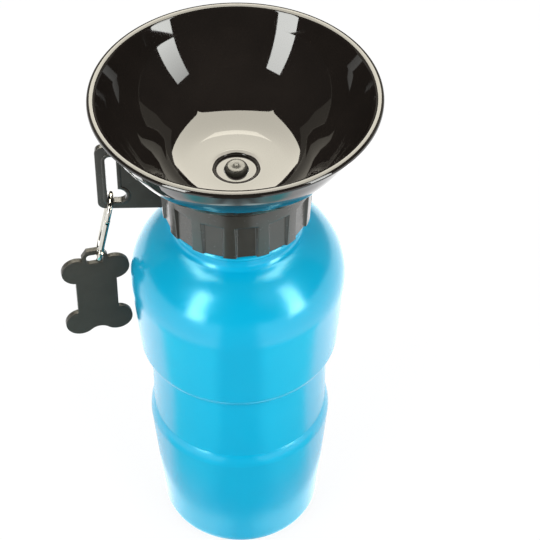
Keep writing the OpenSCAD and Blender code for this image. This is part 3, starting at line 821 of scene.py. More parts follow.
@dataclass
class Bottle:
    """The blown squeeze bottle with its neck and screw thread."""

    base_r: float = 33.9
    base_corner_r: float = 7.8
    foot_w: float = 3.4
    push_up_h: float = 3.0
    lower_h: float = 59.0
    step_r: float = 38.1
    waist_r: float = 36.5
    waist_h: float = 37.5
    bulge_low_r: float = 41.0
    bulge_r: float = 43.5
    bulge_h: float = 41.5
    shoulder_arc_r: float = 29.0
    wall: float = 1.4
    neck_r: float = 25.0
    neck_wall: float = 1.7
    groove_r: float = 25.6
    neck_h: float = 18.25
    bead_r: float = 27.4
    bead_size: float = 1.5
    neck_fillet_r: float = 3.04
    waist_ogee: Point = (13.0, 0.5)
    bulge_ogee: Point = (4.0, 6.5)
    bead_gap: float = 2.8
    bead_fade: float = 0.2
    bead_half_a: float = 80.0
    lip_round: float = 0.4
    bore_foot: float = 2.0
    thread_pitch: float = 4.0
    thread_depth: float = 1.3
    thread_turns: float = 1.75
    thread_root_w: float = 2.0
    thread_crest_w: float = 1.0
    thread_gap: float = 2.4

    @property
    def bulge_z(self) -> float:
        """Widest level of the bulge."""
        return self.lower_h + self.waist_h + self.bulge_h

    @property
    def shoulder_c(self) -> Point:
        """Centre of the shoulder's arc."""
        return (self.bulge_r - self.shoulder_arc_r, self.bulge_z)

    @property
    def fillet_c(self) -> Point:
        """Centre of the fillet between shoulder and neck."""
        x = self.groove_r + self.neck_fillet_r
        reach = self.shoulder_arc_r + self.neck_fillet_r
        return (x, self.shoulder_c[1] + math.sqrt(reach**2 - (x - self.shoulder_c[0]) ** 2))

    @property
    def lip_z(self) -> float:
        """Level of the bottle's lip."""
        return self.fillet_c[1] + self.neck_h

    def outline(self) -> list[Point]:
        """Gives the outside from the middle of the base to the foot of the neck.

        Returns:
            Radius and height of each point.
        """
        foot_r = self.base_r - self.base_corner_r
        hollow_r = foot_r - self.foot_w
        dome_r = (hollow_r**2 + self.push_up_h**2) / (2 * self.push_up_h)
        dome_a = math.degrees(math.asin(hollow_r / dome_r))
        climb = self.lower_h - self.base_corner_r
        lean = math.degrees(math.atan2(self.step_r - self.base_r, climb))
        waist = ogee((self.step_r, self.lower_h), self.waist_r - self.step_r, *self.waist_ogee)
        under = (self.waist_r, self.lower_h + self.waist_h)
        bulge = ogee(under, self.bulge_low_r - self.waist_r, *self.bulge_ogee)
        climb = self.bulge_z - bulge[-1][1]
        flare = math.degrees(math.atan2(self.bulge_r - self.bulge_low_r, climb))
        meet = angle_of(self.shoulder_c, self.fillet_c)
        return (
            arc((0, self.push_up_h - dome_r), dome_r, 90, 90 - dome_a, 14)
            + arc((foot_r, self.base_corner_r), self.base_corner_r, -90, -lean, 16)
            + waist
            + bulge
            + arc(self.shoulder_c, self.shoulder_arc_r, -flare, meet, 40)
            + arc(self.fillet_c, self.neck_fillet_r, 180 + meet, 180, 10)[1:]
        )

    def build(self, finishes: Finishes) -> None:
        """Makes the bottle.

        Args:
            finishes: The finishes of the object.
        """
        outside = self.outline()
        inside = inset(outside, self.wall)
        inside[0] = (0.0, inside[0][1])
        size, lip = self.bead_size, self.lip_round
        bead_c = (self.bead_r - size, self.fillet_c[1] + self.bead_gap + size)
        bore_r = self.neck_r - self.neck_wall
        profile = (
            outside
            + [(self.groove_r, bead_c[1] - size - self.bead_fade)]
            + arc(bead_c, size, -self.bead_half_a, self.bead_half_a, 12)
            + [(self.neck_r, bead_c[1] + size + self.bead_fade)]
            + arc((self.neck_r - lip, self.lip_z - lip), lip, 0, 90, 4)
            + [(bore_r, self.lip_z), (bore_r, self.fillet_c[1] + self.bore_foot)]
            + inside[::-1]
        )
        body = Shape.lathe(profile, 192)
        thread_z = self.lip_z - self.thread_gap - self.thread_pitch * self.thread_turns
        root = (self.neck_r, self.thread_root_w)
        crest = (self.neck_r + self.thread_depth, self.thread_crest_w)
        body.add(Shape.rib(root, crest, thread_z, self.thread_pitch, 360 * self.thread_turns))
        body.piece("blown_bottle", finishes.blue, Body.BOTTLE, Slot.BLUE, ["bottle_body"])


# ---------------------------------------------------------------- bowl and valve


@dataclass
class Bowl:
    """The drinking bowl with its rim, floor, skirt and spigot."""

    rim_r: float = 56.0
    rim_z: float = 232.2508
    wall: float = 2.0
    curve_r: float = 82.0
    curve_c: Point = (-21.409, 261.692)
    curve_tilt: float = 47.5
    bend_r: float = 58.0
    side_tilt: float = 24.0
    rim_t: float = 1.95
    rim_out: float = 1.6
    crown_r: float = 1.6
    lip_r: float = 1.8
    edge_r: float = 0.3
    floor_z: float = 195.4508
    floor_flat: float = 0.9
    floor_dish_r: float = 100.0
    floor_fillet_r: float = 19.0
    recess_r: float = 10.1
    recess_edge: float = 2.4
    recess_depth: float = 1.8
    ledge_t: float = 1.8
    ledge_hole_r: float = 4.9
    spigot_r: float = 13.7
    spigot_wall: float = 2.9
    spigot_foot_z: float = 186.0
    skirt_r: float = 26.1
    skirt_wall: float = 1.8
    skirt_foot_z: float = 189.0
    skirt_shoulder: float = 0.8
    seal_rise: float = 1.9
    seal_half: float = 1.05
    groove_r: float = 12.05
    spigot_chamfer: float = 0.4
    lead: float = 10.0
    starts: int = 3
    lug_root_w: float = 1.1
    lug_crest_w: float = 0.8
    lug_depth: float = 1.2
    lug_rise: float = 0.65
    lug_angle: float = 30.0
    lug_fade: float = 8.0

    def height_at(self, curve_r: float, r: float) -> float:
        """Height on an arc round the centre of curvature."""
        return self.curve_c[1] - math.sqrt(curve_r**2 - (r - self.curve_c[0]) ** 2)

    def radius_at(self, curve_r: float, z: float) -> float:
        """Radius on an arc round the centre of curvature."""
        return self.curve_c[0] + math.sqrt(curve_r**2 - (z - self.curve_c[1]) ** 2)

    def profile(self) -> list[Point]:
        """Gives the closed outline of the bowl.

        Returns:
            Radius and height of each point.
        """
        c, inner_r = self.curve_c, self.curve_r - self.wall
        dish_c = (self.recess_r + self.floor_flat, self.floor_z + self.floor_dish_r)
        fillet_c = meet_inside(dish_c, self.floor_dish_r, c, inner_r, self.floor_fillet_r)
        at_side, at_dish = angle_of(c, fillet_c), angle_of(dish_c, fillet_c)
        head = (self.rim_r - self.rim_out, self.rim_z - self.rim_t)
        bend_c = self.bend_centre(head)
        tilt = math.radians(self.side_tilt)
        lip_z = self.rim_z - self.lip_r
        lip_x = head[0] - self.wall / math.cos(tilt) + (lip_z - head[1]) * math.tan(tilt)
        edge_c = (self.rim_r - self.edge_r, self.rim_z - self.rim_t + self.edge_r)
        crown_c = (self.rim_r - self.crown_r, self.rim_z - self.crown_r)
        out_r = self.skirt_r + self.skirt_shoulder
        foot_z = self.height_at(self.curve_r, out_r)
        skirt_in = self.skirt_r - self.skirt_wall
        ledge_z = self.floor_z - self.recess_depth
        under_z = self.floor_z - self.wall
        return (
            [(skirt_in, self.skirt_foot_z), (self.skirt_r, self.skirt_foot_z)]
            + [(self.skirt_r, foot_z)]
            + arc(c, self.curve_r, angle_of(c, (out_r, foot_z)), -self.curve_tilt, 14)
            + arc(bend_c, self.bend_r, -self.curve_tilt, -self.side_tilt, 24)
            + [head]
            + arc(edge_c, self.edge_r, -90, 0, 6)
            + arc(crown_c, self.crown_r, 0, 90, 14)[1:]
            + arc((lip_x + self.lip_r, lip_z), self.lip_r, 90, 180 - self.side_tilt, 12)
            + arc(bend_c, self.bend_r - self.wall, -self.side_tilt, -self.curve_tilt, 24)
            + arc(c, inner_r, -self.curve_tilt, at_side, 6)
            + arc(fillet_c, self.floor_fillet_r, at_side, at_dish, 20)[1:]
            + arc(dish_c, self.floor_dish_r, at_dish, -90, 10)[1:]
            + [
                (self.recess_r - self.recess_edge * across, ledge_z + self.recess_depth * down)
                for down, across in arc((0, 0), 1.0, 0, 90, 10)
            ]
            + [(self.ledge_hole_r, ledge_z), (self.ledge_hole_r, ledge_z - self.ledge_t)]
            + [(self.spigot_r - self.spigot_wall, ledge_z - self.ledge_t)]
            + self.spigot(under_z)
            + [(skirt_in, under_z)]
        )

    def bend_centre(self, head: Point) -> Point:
        """Gives the centre of the bend between the bowl's round part and its straight side.

        Args:
            head: Point on the outside of the straight side.

        Returns:
            The centre of curvature of the bend.
        """
        low, high = (
            (math.cos(math.radians(a)), math.sin(math.radians(a)))
            for a in (self.curve_tilt, self.side_tilt)
        )
        start = (self.curve_c[0] + self.curve_r * low[0], self.curve_c[1] - self.curve_r * low[1])
        a = -low[0] * start[0] + low[1] * start[1] + self.bend_r
        b = -high[0] * head[0] + high[1] * head[1] + self.bend_r
        span = high[0] * low[1] - low[0] * high[1]
        return ((a * high[1] - b * low[1]) / span, (a * high[0] - b * low[0]) / span)

    def spigot(self, top_z: float) -> list[Point]:
        """Gives the spigot's foot and its outer side with the seal's groove.

        Args:
            top_z: Level where the outer side ends.

        Returns:
            Radius and height of each point.
        """
        foot_z, cut = self.spigot_foot_z, self.spigot_chamfer
        low, high = (foot_z + self.seal_rise + side * self.seal_half for side in (-1, 1))
        return [
            (self.spigot_r - self.spigot_wall, foot_z),
            (self.spigot_r - cut, foot_z),
            (self.spigot_r, foot_z + cut),
            (self.spigot_r, low),
            (self.groove_r, low),
            (self.groove_r, high),
            (self.spigot_r, high),
            (self.spigot_r, top_z),
        ]

    def build(self, finishes: Finishes) -> None:
        """Makes the bowl.

        Args:
            finishes: The finishes of the object.
        """
        bowl = Shape.lathe(self.profile(), 192, ring=True)
        root = (self.skirt_r, self.lug_root_w)
        crest = (self.skirt_r + self.lug_depth, self.lug_crest_w)
        for i in range(self.starts):
            bowl.add(
                Shape.rib(
                    root, crest, self.skirt_foot_z + self.lug_rise, self.lead, self.lug_angle,
                    start=i * 360 / self.starts, fade=self.lug_fade,
                )
            )
        bowl.piece("drinking_bowl", finishes.black, Body.BOWL, Slot.BLACK, ["bowl"], crease=32)


@dataclass
class Valve:
    """The valve post with its cup, under the bowl's floor."""

    post_r: float = 4.6
    top_z: float = 196.2508
    foot_z: float = 185.3008
    nose_across: float = 1.65
    nose_down: float = 2.5
    seal_z: float = 192.7508
    seal_seat_r: float = 3.8
    cup_r: float = 13.95
    cup_z: float = 181.2008
    cup_top_z: float = 185.6
    floor_z: float = 182.8008
    flange_z: float = 182.9508
    flange_r: float = 16.0
    tube_r: float = 4.0
    tube_play: float = 0.05
    tube_stop: float = 0.9
    tube_up: float = 0.6
    socket_h: float = 9.7
    socket_wall: float = 1.4
    cup_wall: float = 1.6
    seal_half: float = 0.6
    rib_half_t: float = 0.7
    dimple: tuple[Point, ...] = ((1.25, 0.0), (1.05, 0.1), (0.85, 0.28), (0.5, 0.37), (0.0, 0.4))

    def build(self, finishes: Finishes) -> None:
        """Makes the post, its ribs and the valve cup as one piece.

        Args:
            finishes: The finishes of the object.
        """
        valve = Shape.lathe(self.post(), 96)
        valve.add(Shape.lathe(self.cup(), 96, ring=True))
        half, reach = self.rib_half_t, self.cup_r - 1
        for turned in (45, 135):
            rib = Shape.box((-reach, -half, self.floor_z - 0.2), (reach, half, self.foot_z + 0.4))
            valve.add(rib.turn(turned, "Z"))
        valve.piece(
            "valve_and_post", finishes.charcoal, Body.CAP_CORE, Slot.CHARCOAL, ["valve_post"],
            crease=35,
        )

    def post(self) -> list[Point]:
        """Gives the post's profile, with the seal's seat, a round nose and a dimple on top.

        Returns:
            Radius and height of each point.
        """
        nose = (self.post_r - self.nose_across, self.top_z - self.nose_down)
        low, high = (self.seal_z + side * self.seal_half for side in (-1, 1))
        return (
            [(0, self.foot_z), (self.post_r, self.foot_z), (self.post_r, low)]
            + [(self.seal_seat_r, low), (self.seal_seat_r, high), (self.post_r, high)]
            + [
                (nose[0] + self.nose_across * across, nose[1] + self.nose_down * up)
                for across, up in arc((0, 0), 1.0, 0, 90, 14)
            ]
            + [(r, self.top_z - down) for r, down in self.dimple]
        )

    def cup(self) -> list[Point]:
        """Gives the closed profile of the cup with its flange and the tube's socket.

        Returns:
            Radius and height of each point.
        """
        bore_r, stop_r = self.tube_r + self.tube_play, self.tube_r - self.tube_stop
        socket_r, inner_r = bore_r + self.socket_wall, self.cup_r - self.cup_wall
        foot_z, stop_z = self.cup_z - self.socket_h, self.cup_z - self.tube_up
        return [
            (bore_r, foot_z),
            (socket_r, foot_z),
            (socket_r, self.cup_z),
            (self.flange_r, self.cup_z),
            (self.flange_r, self.flange_z),
            (self.cup_r, self.flange_z),
            (self.cup_r, self.cup_top_z),
            (inner_r, self.cup_top_z),
            (inner_r, self.floor_z),
            (stop_r, self.floor_z),
            (stop_r, stop_z),
            (bore_r, stop_z),
        ]


# ---------------------------------------------------------------- collar


@dataclass
class Collar:
    """The screw collar with its grip pockets and hanger."""

    segments: int = 168
    top_r: float = 30.2
    draft: float = 0.8
    foot_z: float = 173.8508
    height: float = 23.4
    bore_r: float = 26.7
    cup_r: float = 27.6
    deck_z: float = 186.5008
    deck_t: float = 2.0
    hub_r: float = 14.0
    hub_wall: float = 2.0
    hub_foot_z: float = 183.0008
    hub_top_z: float = 192.8508
    pocket_count: int = 14
    pocket_w: float = 8.8
    pocket_depth: float = 1.1
    pocket_h: float = 15.3
    pocket_phase: float = -5.9
    pocket_reach: float = 6.0
    pocket_flank: float = 0.77
    pocket_roof: float = 0.9
    pocket_corner: float = 0.9
    pocket_round: float = 0.22
    plate_t: float = 2.6
    plate_reach: float = 54.5
    plate_z: float = 175.0508
    plate_h: float = 31.8
    slot_x: float = 48.45
    slot_w: float = 4.3
    slot_z: float = 178.7508
    slot_h: float = 23.6
    notch_r: float = 3.4
    rim_w: float = 1.5
    rim_proud: float = 0.35
    bowl_play: float = 0.2
    top_round: float = 0.5
    top_band: float = 5.0
    neck_r: float = 25.0
    thread_z: float = 177.6008
    thread_pitch: float = 4.0
    thread_turns: float = 1.25
    thread_root_w: float = 2.0
    thread_crest_w: float = 1.0
    thread_play: float = 0.4
    rail_angle: float = 108.0
    bowl: Bowl = field(default_factory=Bowl)

    def shell(self) -> Shape:
        """Makes the turned shell with its deck and hub.

        Returns:
            The shell.
        """
        top_z, bowl, top_round = self.foot_z + self.height, self.bowl, self.top_round
        c, seat_r = bowl.curve_c, bowl.curve_r + self.bowl_play
        seat = (bowl.radius_at(seat_r, top_z), top_z)
        cup_top = (self.cup_r, bowl.height_at(seat_r, self.cup_r))
        deck_top = self.deck_z + self.deck_t
        hub_out = self.hub_r + self.hub_wall
        profile = (
            [(self.bore_r, self.foot_z), (self.top_r - self.draft, self.foot_z)]
            + [(self.top_r, top_z - self.top_band)]
            + arc((self.top_r - top_round, top_z - top_round), top_round, 0, 90, 5)
            + arc(c, seat_r, angle_of(c, seat), angle_of(c, cup_top), 6)
            + [(self.cup_r, deck_top), (hub_out, deck_top), (hub_out, self.hub_top_z)]
            + [(self.hub_r, self.hub_top_z), (self.hub_r, self.hub_foot_z)]
            + [(hub_out, self.hub_foot_z), (hub_out, self.deck_z), (self.bore_r, self.deck_z)]
        )
        return Shape.lathe(profile, self.segments, ring=True)

    def pocket(self) -> Shape:
        """Makes the cutter of one grip pocket, on the +X side.

        Returns:
            The cutter.
        """
        floor_x = self.top_r - self.draft - self.pocket_depth
        reach, half = self.pocket_reach, self.pocket_w / 2 - self.pocket_corner
        mouth = half + self.pocket_flank * reach
        low, high = self.foot_z - 1, self.foot_z + self.pocket_h
        roof = high + self.pocket_roof * reach
        back = [(-half, low), (half, low), (half, high), (-half, high)]
        front = [(-mouth, low), (mouth, low), (mouth, roof), (-mouth, roof)]
        shape = Shape()
        rings = [
            [shape.bm.verts.new((x, y, z)) for y, z in outline]
            for x, outline in ((floor_x, back), (floor_x + reach, front))
        ]
        shape.bm.faces.new(rings[0])
        shape.bm.faces.new(rings[1][::-1])
        for i in range(4):
            j = (i + 1) % 4
            shape.bm.faces.new((rings[0][i], rings[0][j], rings[1][j], rings[1][i]))
        bmesh.ops.recalc_face_normals(shape.bm, faces=shape.bm.faces)
        return shape

    def slot_outline(self, grow: float = 0.0) -> list[Point]:
        """Gives the slot with its round notch.

        Args:
            grow: How much wider it is on every side.

        Returns:
            Its points.
        """
        half = self.slot_w / 2 + grow
        corner = 1.0 + grow
        foot = self.slot_z - grow
        top = (self.slot_x, self.slot_z + self.slot_h - self.slot_w / 2)
        notch = (self.slot_x - self.slot_w / 2, self.slot_z + self.notch_r)
        notch_r = self.notch_r + grow
        side = self.slot_x - half
        rise = math.degrees(math.acos((side - notch[0]) / notch_r))
        return (
            arc((self.slot_x + half - corner, foot + corner), corner, -90, 0, 6)
            + arc(top, half, 0, 180, 20)
            + arc(notch, notch_r, rise, 270, 26)
        )

    def hanger_outline(self) -> list[Point]:
        """Gives the hanger's outline, whose inner edge follows the bowl.

        Returns:
            Its points.
        """
        bowl_gap, corner, sunk, proud, drop = 1.3, 3.0, 1.2, 0.2, 0.6
        c, edge_r = self.bowl.curve_c, self.bowl.curve_r + self.bowl_play + bowl_gap
        top_z = self.plate_z + self.plate_h
        root_r, meet_r = self.top_r - sunk, self.top_r + proud
        start = (self.bowl.radius_at(edge_r, top_z), top_z)
        end = (meet_r, self.bowl.height_at(edge_r, meet_r))
        corner_x = self.plate_reach - corner
        return (
            [(root_r, self.plate_z)]
            + arc((corner_x, self.plate_z + corner), corner, -90, 0, 8)
            + arc((corner_x, top_z - corner), corner, 0, 90, 8)
            + arc(c, edge_r, angle_of(c, start), angle_of(c, end), 20)
            + [(root_r, end[1] - drop)]
        )

    def hanger(self) -> Shape:
        """Makes the hanger plate with the raised rim round its slot, on the -X side.

        Returns:
            The hanger.
        """
        slot, rim_t = self.slot_outline(), self.plate_t + 2 * self.rim_proud
        plate = Shape.plate(self.hanger_outline(), [slot], self.plate_t, 0.35, 4)
        plate.join(Shape.plate(self.slot_outline(self.rim_w), [slot], rim_t, 0.25, 3))
        return plate.place(Matrix.Rotation(math.pi, 4, "Z") @ Matrix.Rotation(math.pi / 2, 4, "X"))

    def build(self, finishes: Finishes) -> None:
        """Makes the collar.

        Args:
            finishes: The finishes of the object.
        """
        cutter = Shape()
        step = 360 / self.pocket_count
        for i in range(1, self.pocket_count):
            cutter.add(self.pocket().turn(180 + self.pocket_phase + i * step, "Z"))
        # the pockets' edges fall between the shell's facet lines, so that their rounding is clean
        facets = 180 + self.pocket_phase + 180 / self.segments
        collar = self.shell().turn(facets, "Z").cut(cutter)
        inside_r = self.top_r - self.draft - self.pocket_depth - 0.2
        under_z = self.foot_z + self.height - 1.0
        collar.soften(
            self.pocket_round, 3, 24.0,
            lambda p: math.hypot(p.x, p.y) > inside_r and p.z < under_z,
        )
        collar.add(self.hanger())
        root = (self.bore_r, self.thread_root_w)
        crest = (self.neck_r + self.thread_play, self.thread_crest_w)
        turned = 360 * self.thread_turns
        collar.add(Shape.rib(root, crest, self.thread_z, self.thread_pitch, turned))
        bowl = self.bowl
        rail_z = bowl.skirt_foot_z + bowl.lug_rise + bowl.lead / bowl.starts / 2
        root = (self.cup_r, bowl.lug_root_w)
        crest = (self.cup_r - bowl.lug_depth, bowl.lug_crest_w)
        for i in range(bowl.starts):
            start = i * 360 / bowl.starts
            collar.add(Shape.rib(root, crest, rail_z, bowl.lead, self.rail_angle, start=start))
        collar.piece(
            "screw_collar_with_hanger", finishes.charcoal, Body.COLLAR, Slot.CHARCOAL,
            ["screw_collar"], crease=35,
        )


# ---------------------------------------------------------------- snap hook and tag


@dataclass
class SnapHook:
    """The small snap hook with its hinged gate and rivet."""

    wire_r: float = 1.1
    end_r: float = 5.35
    straight: float = 22.1
    lean: float = 11.93463
    centre: Place = (-50.306356, 0.0, 175.216123)
    nose_z: float = -2.4
    tongue_t: float = 0.8
    gate_r: float = 1.2
    rivet_r: float = 0.5
    rivet_head_r: float = 0.8
    rivet_head_t: float = 0.3
    rivet_play: float = 0.05
    stub: float = 1.0
    tongue_r: float = 0.9
    spring_r: float = 0.75
    spring_len: float = 9.0

    @property
    def place(self) -> Matrix:
        """Place of the hook's own frame."""
        return Matrix.Translation(self.centre) @ Matrix.Rotation(math.radians(self.lean), 4, "Y")

    @property
    def pivot_z(self) -> float:
        """Level of the gate's hinge in the hook's own frame."""
        return 2.6 - self.straight

    def wire(self) -> Shape:
        """Makes the bent wire from the nose round both ends to the stub that carries the gate.

        Returns:
            The wire.
        """
        shape = Shape()
        bm = shape.bm
        made = bmesh.ops.create_circle(bm, cap_ends=True, radius=self.wire_r, segments=28)
        bmesh.ops.translate(bm, verts=made["verts"], vec=(0, -self.end_r, self.nose_z))
        face = bm.faces[:][0]
        if face.normal.z < 0:
            face.normal_flip()

        def pull(tip: Any, rise: float) -> Any:
            """Extrudes the tip face along Z.

            Args:
                tip: The face at the wire's end.
                rise: Length of the new part, downwards if negative.

            Returns:
                The new tip.
            """
            grown = bmesh.ops.extrude_face_region(bm, geom=[tip])["geom"]
            verts = [v for v in grown if isinstance(v, bmesh.types.BMVert)]
            bmesh.ops.translate(bm, verts=verts, vec=(0, 0, rise))
            if tip.is_valid and tip not in grown:
                bm.faces.remove(tip)
            return next(f for f in grown if isinstance(f, bmesh.types.BMFace))

        def bend(tip: Any, level: float) -> Any:
            """Spins the tip face half a turn about an axis along X.

            Args:
                tip: The face at the wire's end.
                level: Level of the axis.

            Returns:
                The new tip.
            """
            spun = spin(bm, [tip], -math.pi, 28, (0, 0, level), (1, 0, 0))["geom_last"]
            return next(f for f in spun if isinstance(f, bmesh.types.BMFace))

        # the copy stays behind and closes the wire at the nose
        bmesh.ops.duplicate(bm, geom=[face])
        tip = pull(face, -self.nose_z)
        tip = bend(tip, 0.0)
        tip = pull(tip, -self.straight)
        tip = bend(tip, -self.straight)
        pull(tip, self.stub)
        bmesh.ops.remove_doubles(bm, verts=bm.verts, dist=MERGE)
        bmesh.ops.recalc_face_normals(bm, faces=bm.faces)
        return shape

    def build(self, finishes: Finishes) -> None:
        """Makes the frame, the rivet and the gate.

        Args:
            finishes: The finishes of the object.
        """
        pieces = (
            ("hook_wire_frame", self.wire_frame(), Body.HOOK, "hook_frame"),
            ("hook_gate_rivet", self.rivet(), Body.HOOK, "gate_rivet"),
            ("hook_spring_gate", self.gate(), Body.GATE, "hook_gate"),
        )
        for name, shape, body, node in pieces:
            shape.place(self.place).piece(name, finishes.chrome, body, Slot.BRIGHT, [node])

    def wire_frame(self) -> Shape:
        """Makes the wire with the nose's tongue and the tongue that the gate turns on.

        Returns:
            The frame, in the hook's own place.
        """
        wire, half = self.wire(), self.tongue_t / 2
        sunk, outer, inner, down = 0.2, 0.9, 0.6, 1.4
        nose = Shape.box(
            (-half, -self.end_r - outer, self.nose_z - down),
            (half, -self.end_r + inner, self.nose_z + sunk),
        )
        wire.add(nose.soften(0.12, 2))
        low = self.stub - self.straight - sunk - self.pivot_z
        tongue = Shape.plate(
            [(-self.tongue_r, low), (self.tongue_r, low)] + arc((0, 0), self.tongue_r, 0, 180, 16),
            [arc((0, 0), self.rivet_r + self.rivet_play, 360, 22.5, 15)],
            self.tongue_t, 0.1, 2,
        )
        tongue.place(Matrix.Rotation(math.pi / 2, 4, "Z") @ Matrix.Rotation(math.pi / 2, 4, "X"))
        return wire.add(tongue.move(0, -self.end_r, self.pivot_z))

    def rivet(self) -> Shape:
        """Makes the rivet with a domed head at each end.

        Returns:
            The rivet, in the hook's own place.
        """
        head_x, head_r = self.gate_r + 0.1, self.rivet_head_r
        profile = [(0, 0), (self.rivet_r, 0), (self.rivet_r, head_x), (head_r, head_x)] + [
            (head_r * across, head_x + self.rivet_head_t * up)
            for across, up in arc((0, 0), 1.0, 0, 90, 6)[1:]
        ]
        half, other = (Shape.lathe(profile, 32) for _ in range(2))
        other.place(Matrix.Scale(-1, 4, (0, 0, 1)))
        bmesh.ops.recalc_face_normals(other.bm, faces=other.bm.faces)
        return half.add(other).turn(90, "Y").move(0, -self.end_r, self.pivot_z)

    def gate(self) -> Shape:
        """Makes the gate with its two slots, the rivet's hole and the spring's bore.

        Returns:
            The gate, in the hook's own place.
        """
        gap, edge, play, past = 0.2, 0.2, 0.3, 2.0
        top, r = self.nose_z - gap - self.pivot_z, self.gate_r
        profile = (
            arc((0, 0), r, -90, 0, 8)[:-1]
            + [(r, 0.0)]
            + arc((r - edge, top - edge), edge, 0, 90, 3)
            + [(0, top)]
        )
        gate, half = Shape.lathe(profile, 40), (self.tongue_t + play) / 2
        gate.cut(Shape.box((-half, -past, -past), (half, past, 1.2)))
        gate.cut(Shape.box((-half, -past, top - 1.7), (half, 0.75, top + 1.3)))
        gate.cut(Shape.rod(self.rivet_r + self.rivet_play, -past, past, 32).turn(90, "Y"))
        gate.cut(Shape.rod(self.spring_r, 1.0, 1.6 + self.spring_len, 32))
        return gate.move(0, -self.end_r, self.pivot_z)


@dataclass
class BoneTag:
    """The bare bone-shaped tag that hangs on the hook."""

    thickness: float = 2.4
    lobe_r: float = 6.3
    lobe_x: float = 7.6
    lobe_z: float = 14.6
    waist: float = 8.4
    notch_z: float = 18.0
    eye_w: float = 6.8
    eye_h: float = 4.8
    eye_corner: float = 1.5
    eye_bar: float = 2.3
    eye_rise: float = 6.2
    loop_side: float = 1.85
    loop_corner: Point = (2.1, 3.2)
    turned: float = 12.0
    wire_in_eye: Point = (1.7, 1.0)
    hang: Place = (-55.982895, 0.0, 148.359477)

    @property
    def eye_z(self) -> float:
        """Level of the middle of the hole in the loop."""
        return self.lobe_z + self.eye_rise

    def outline(self) -> list[Point]:
        """Gives the tag's outline, anticlockwise from the middle of its foot.

        Returns:
            Its points.
        """
        loop = self.eye_w / 2 + self.loop_side
        loop_top = self.eye_z + self.eye_h / 2 + self.eye_bar
        r, x, z = self.lobe_r, self.lobe_x, self.lobe_z
        # a round hollow joins the two lobes at the foot
        hollow_r = (x**2 + (self.notch_z - z) ** 2 - r**2) / (2 * (r + z - self.notch_z))
        hollow_a = math.degrees(math.atan2(self.notch_z + hollow_r - z, x))
        hollow = arc((0, -self.notch_z - hollow_r), hollow_r, 90, hollow_a, 8)
        at_waist = math.degrees(math.acos((self.waist - x) / r))
        at_loop = math.degrees(math.acos((loop - x) / r))
        right = hollow + arc((x, -z), r, hollow_a - 180, at_waist, 44)[1:]
        right += arc((x, z), r, -at_waist, at_loop, 40)
        right += [(loop, loop_top - self.loop_corner[1]), (loop - self.loop_corner[0], loop_top)]
        return right + [(-px, pz) for px, pz in reversed(right[1:])]

    def eye(self) -> list[Point]:
        """Gives the hole in the tag's loop.

        Returns:
            Its points.
        """
        w, h = self.eye_w / 2 - self.eye_corner, self.eye_h / 2 - self.eye_corner
        points: list[Point] = []
        for i, (x, z) in enumerate([(w, h), (-w, h), (-w, -h), (w, -h)]):
            points += arc((x, self.eye_z + z), self.eye_corner, 90 * i, 90 * i + 90, 8)
        return points

    def build(self, finishes: Finishes) -> None:
        """Makes the tag.

        Args:
            finishes: The finishes of the object.
        """
        tag = Shape.plate(self.outline(), [self.eye()], self.thickness, 0.35, 4)
        tag.turn(90, "X").move(-self.wire_in_eye[0]).turn(self.turned, "Z")
        tag.move(self.hang[0], 0, self.hang[2] - self.wire_in_eye[1] - self.eye_z)
        tag.piece("bone_tag_plate", finishes.flat, Body.TAG, Slot.CHARCOAL, ["bone_tag"])


# ---------------------------------------------------------------- inner parts


class InnerParts:
    """The seals, dip tube and spring, whose CAD shapes stay as they are."""

    def dress(self, finishes: Finishes) -> None:
        """Gives each carried CAD node its material.

        Args:
            finishes: The finishes of the object.
        """
        for name, material in {
            "neck_seal": finishes.silicone,
            "post_seal": finishes.silicone,
            "bowl_seal": finishes.silicone,
            "dip_tube": finishes.natural,
            "gate_spring": finishes.spring,
        }.items():
            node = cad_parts[name]
            node.data.materials.clear()
            node.data.materials.append(material)
            LOG.info("%s: dressed", name)


# ---------------------------------------------------------------- studio


@dataclass(frozen=True)
class Card:
    """A flat studio card that shows only in reflections.

    Attributes:
        name: Name of the card.
        corners: Its four corners in metres.
        colour: Its linear colour.
        strength: Its brightness at its foot, where 1 is white.
        rise: Share of the brightness that is left at its top.
    """

    name: str
    corners: tuple[Place, ...]
    colour: Colour = (1.0, 1.0, 1.0)
    strength: float = 1.0
    rise: float = 1.0

    def build(self) -> None:
        """Makes the card."""
        bm = bmesh.new()
        bm.faces.new([bm.verts.new(c) for c in self.corners])
        mesh = bpy.data.meshes.new(self.name)
        bm.to_mesh(mesh)
        bm.free()
        graph = Graph(self.name)
        levels = [c[2] for c in self.corners]
        foot, top = min(levels), max(levels)
        height = graph.node("SeparateXYZ", {0: graph.place()}).outputs["Z"]
        strength = graph.between(height, self.strength, self.strength * self.rise, foot, top)
        light = graph.node("Emission", {"Color": (*self.colour, 1), "Strength": strength})
        mesh.materials.append(graph.finish(light.outputs[0]))
        card = bpy.data.objects.new(self.name, mesh)
        bpy.context.scene.collection.objects.link(card)
        card.visible_camera = card.visible_diffuse = card.visible_shadow = False
        card.visible_transmission = False


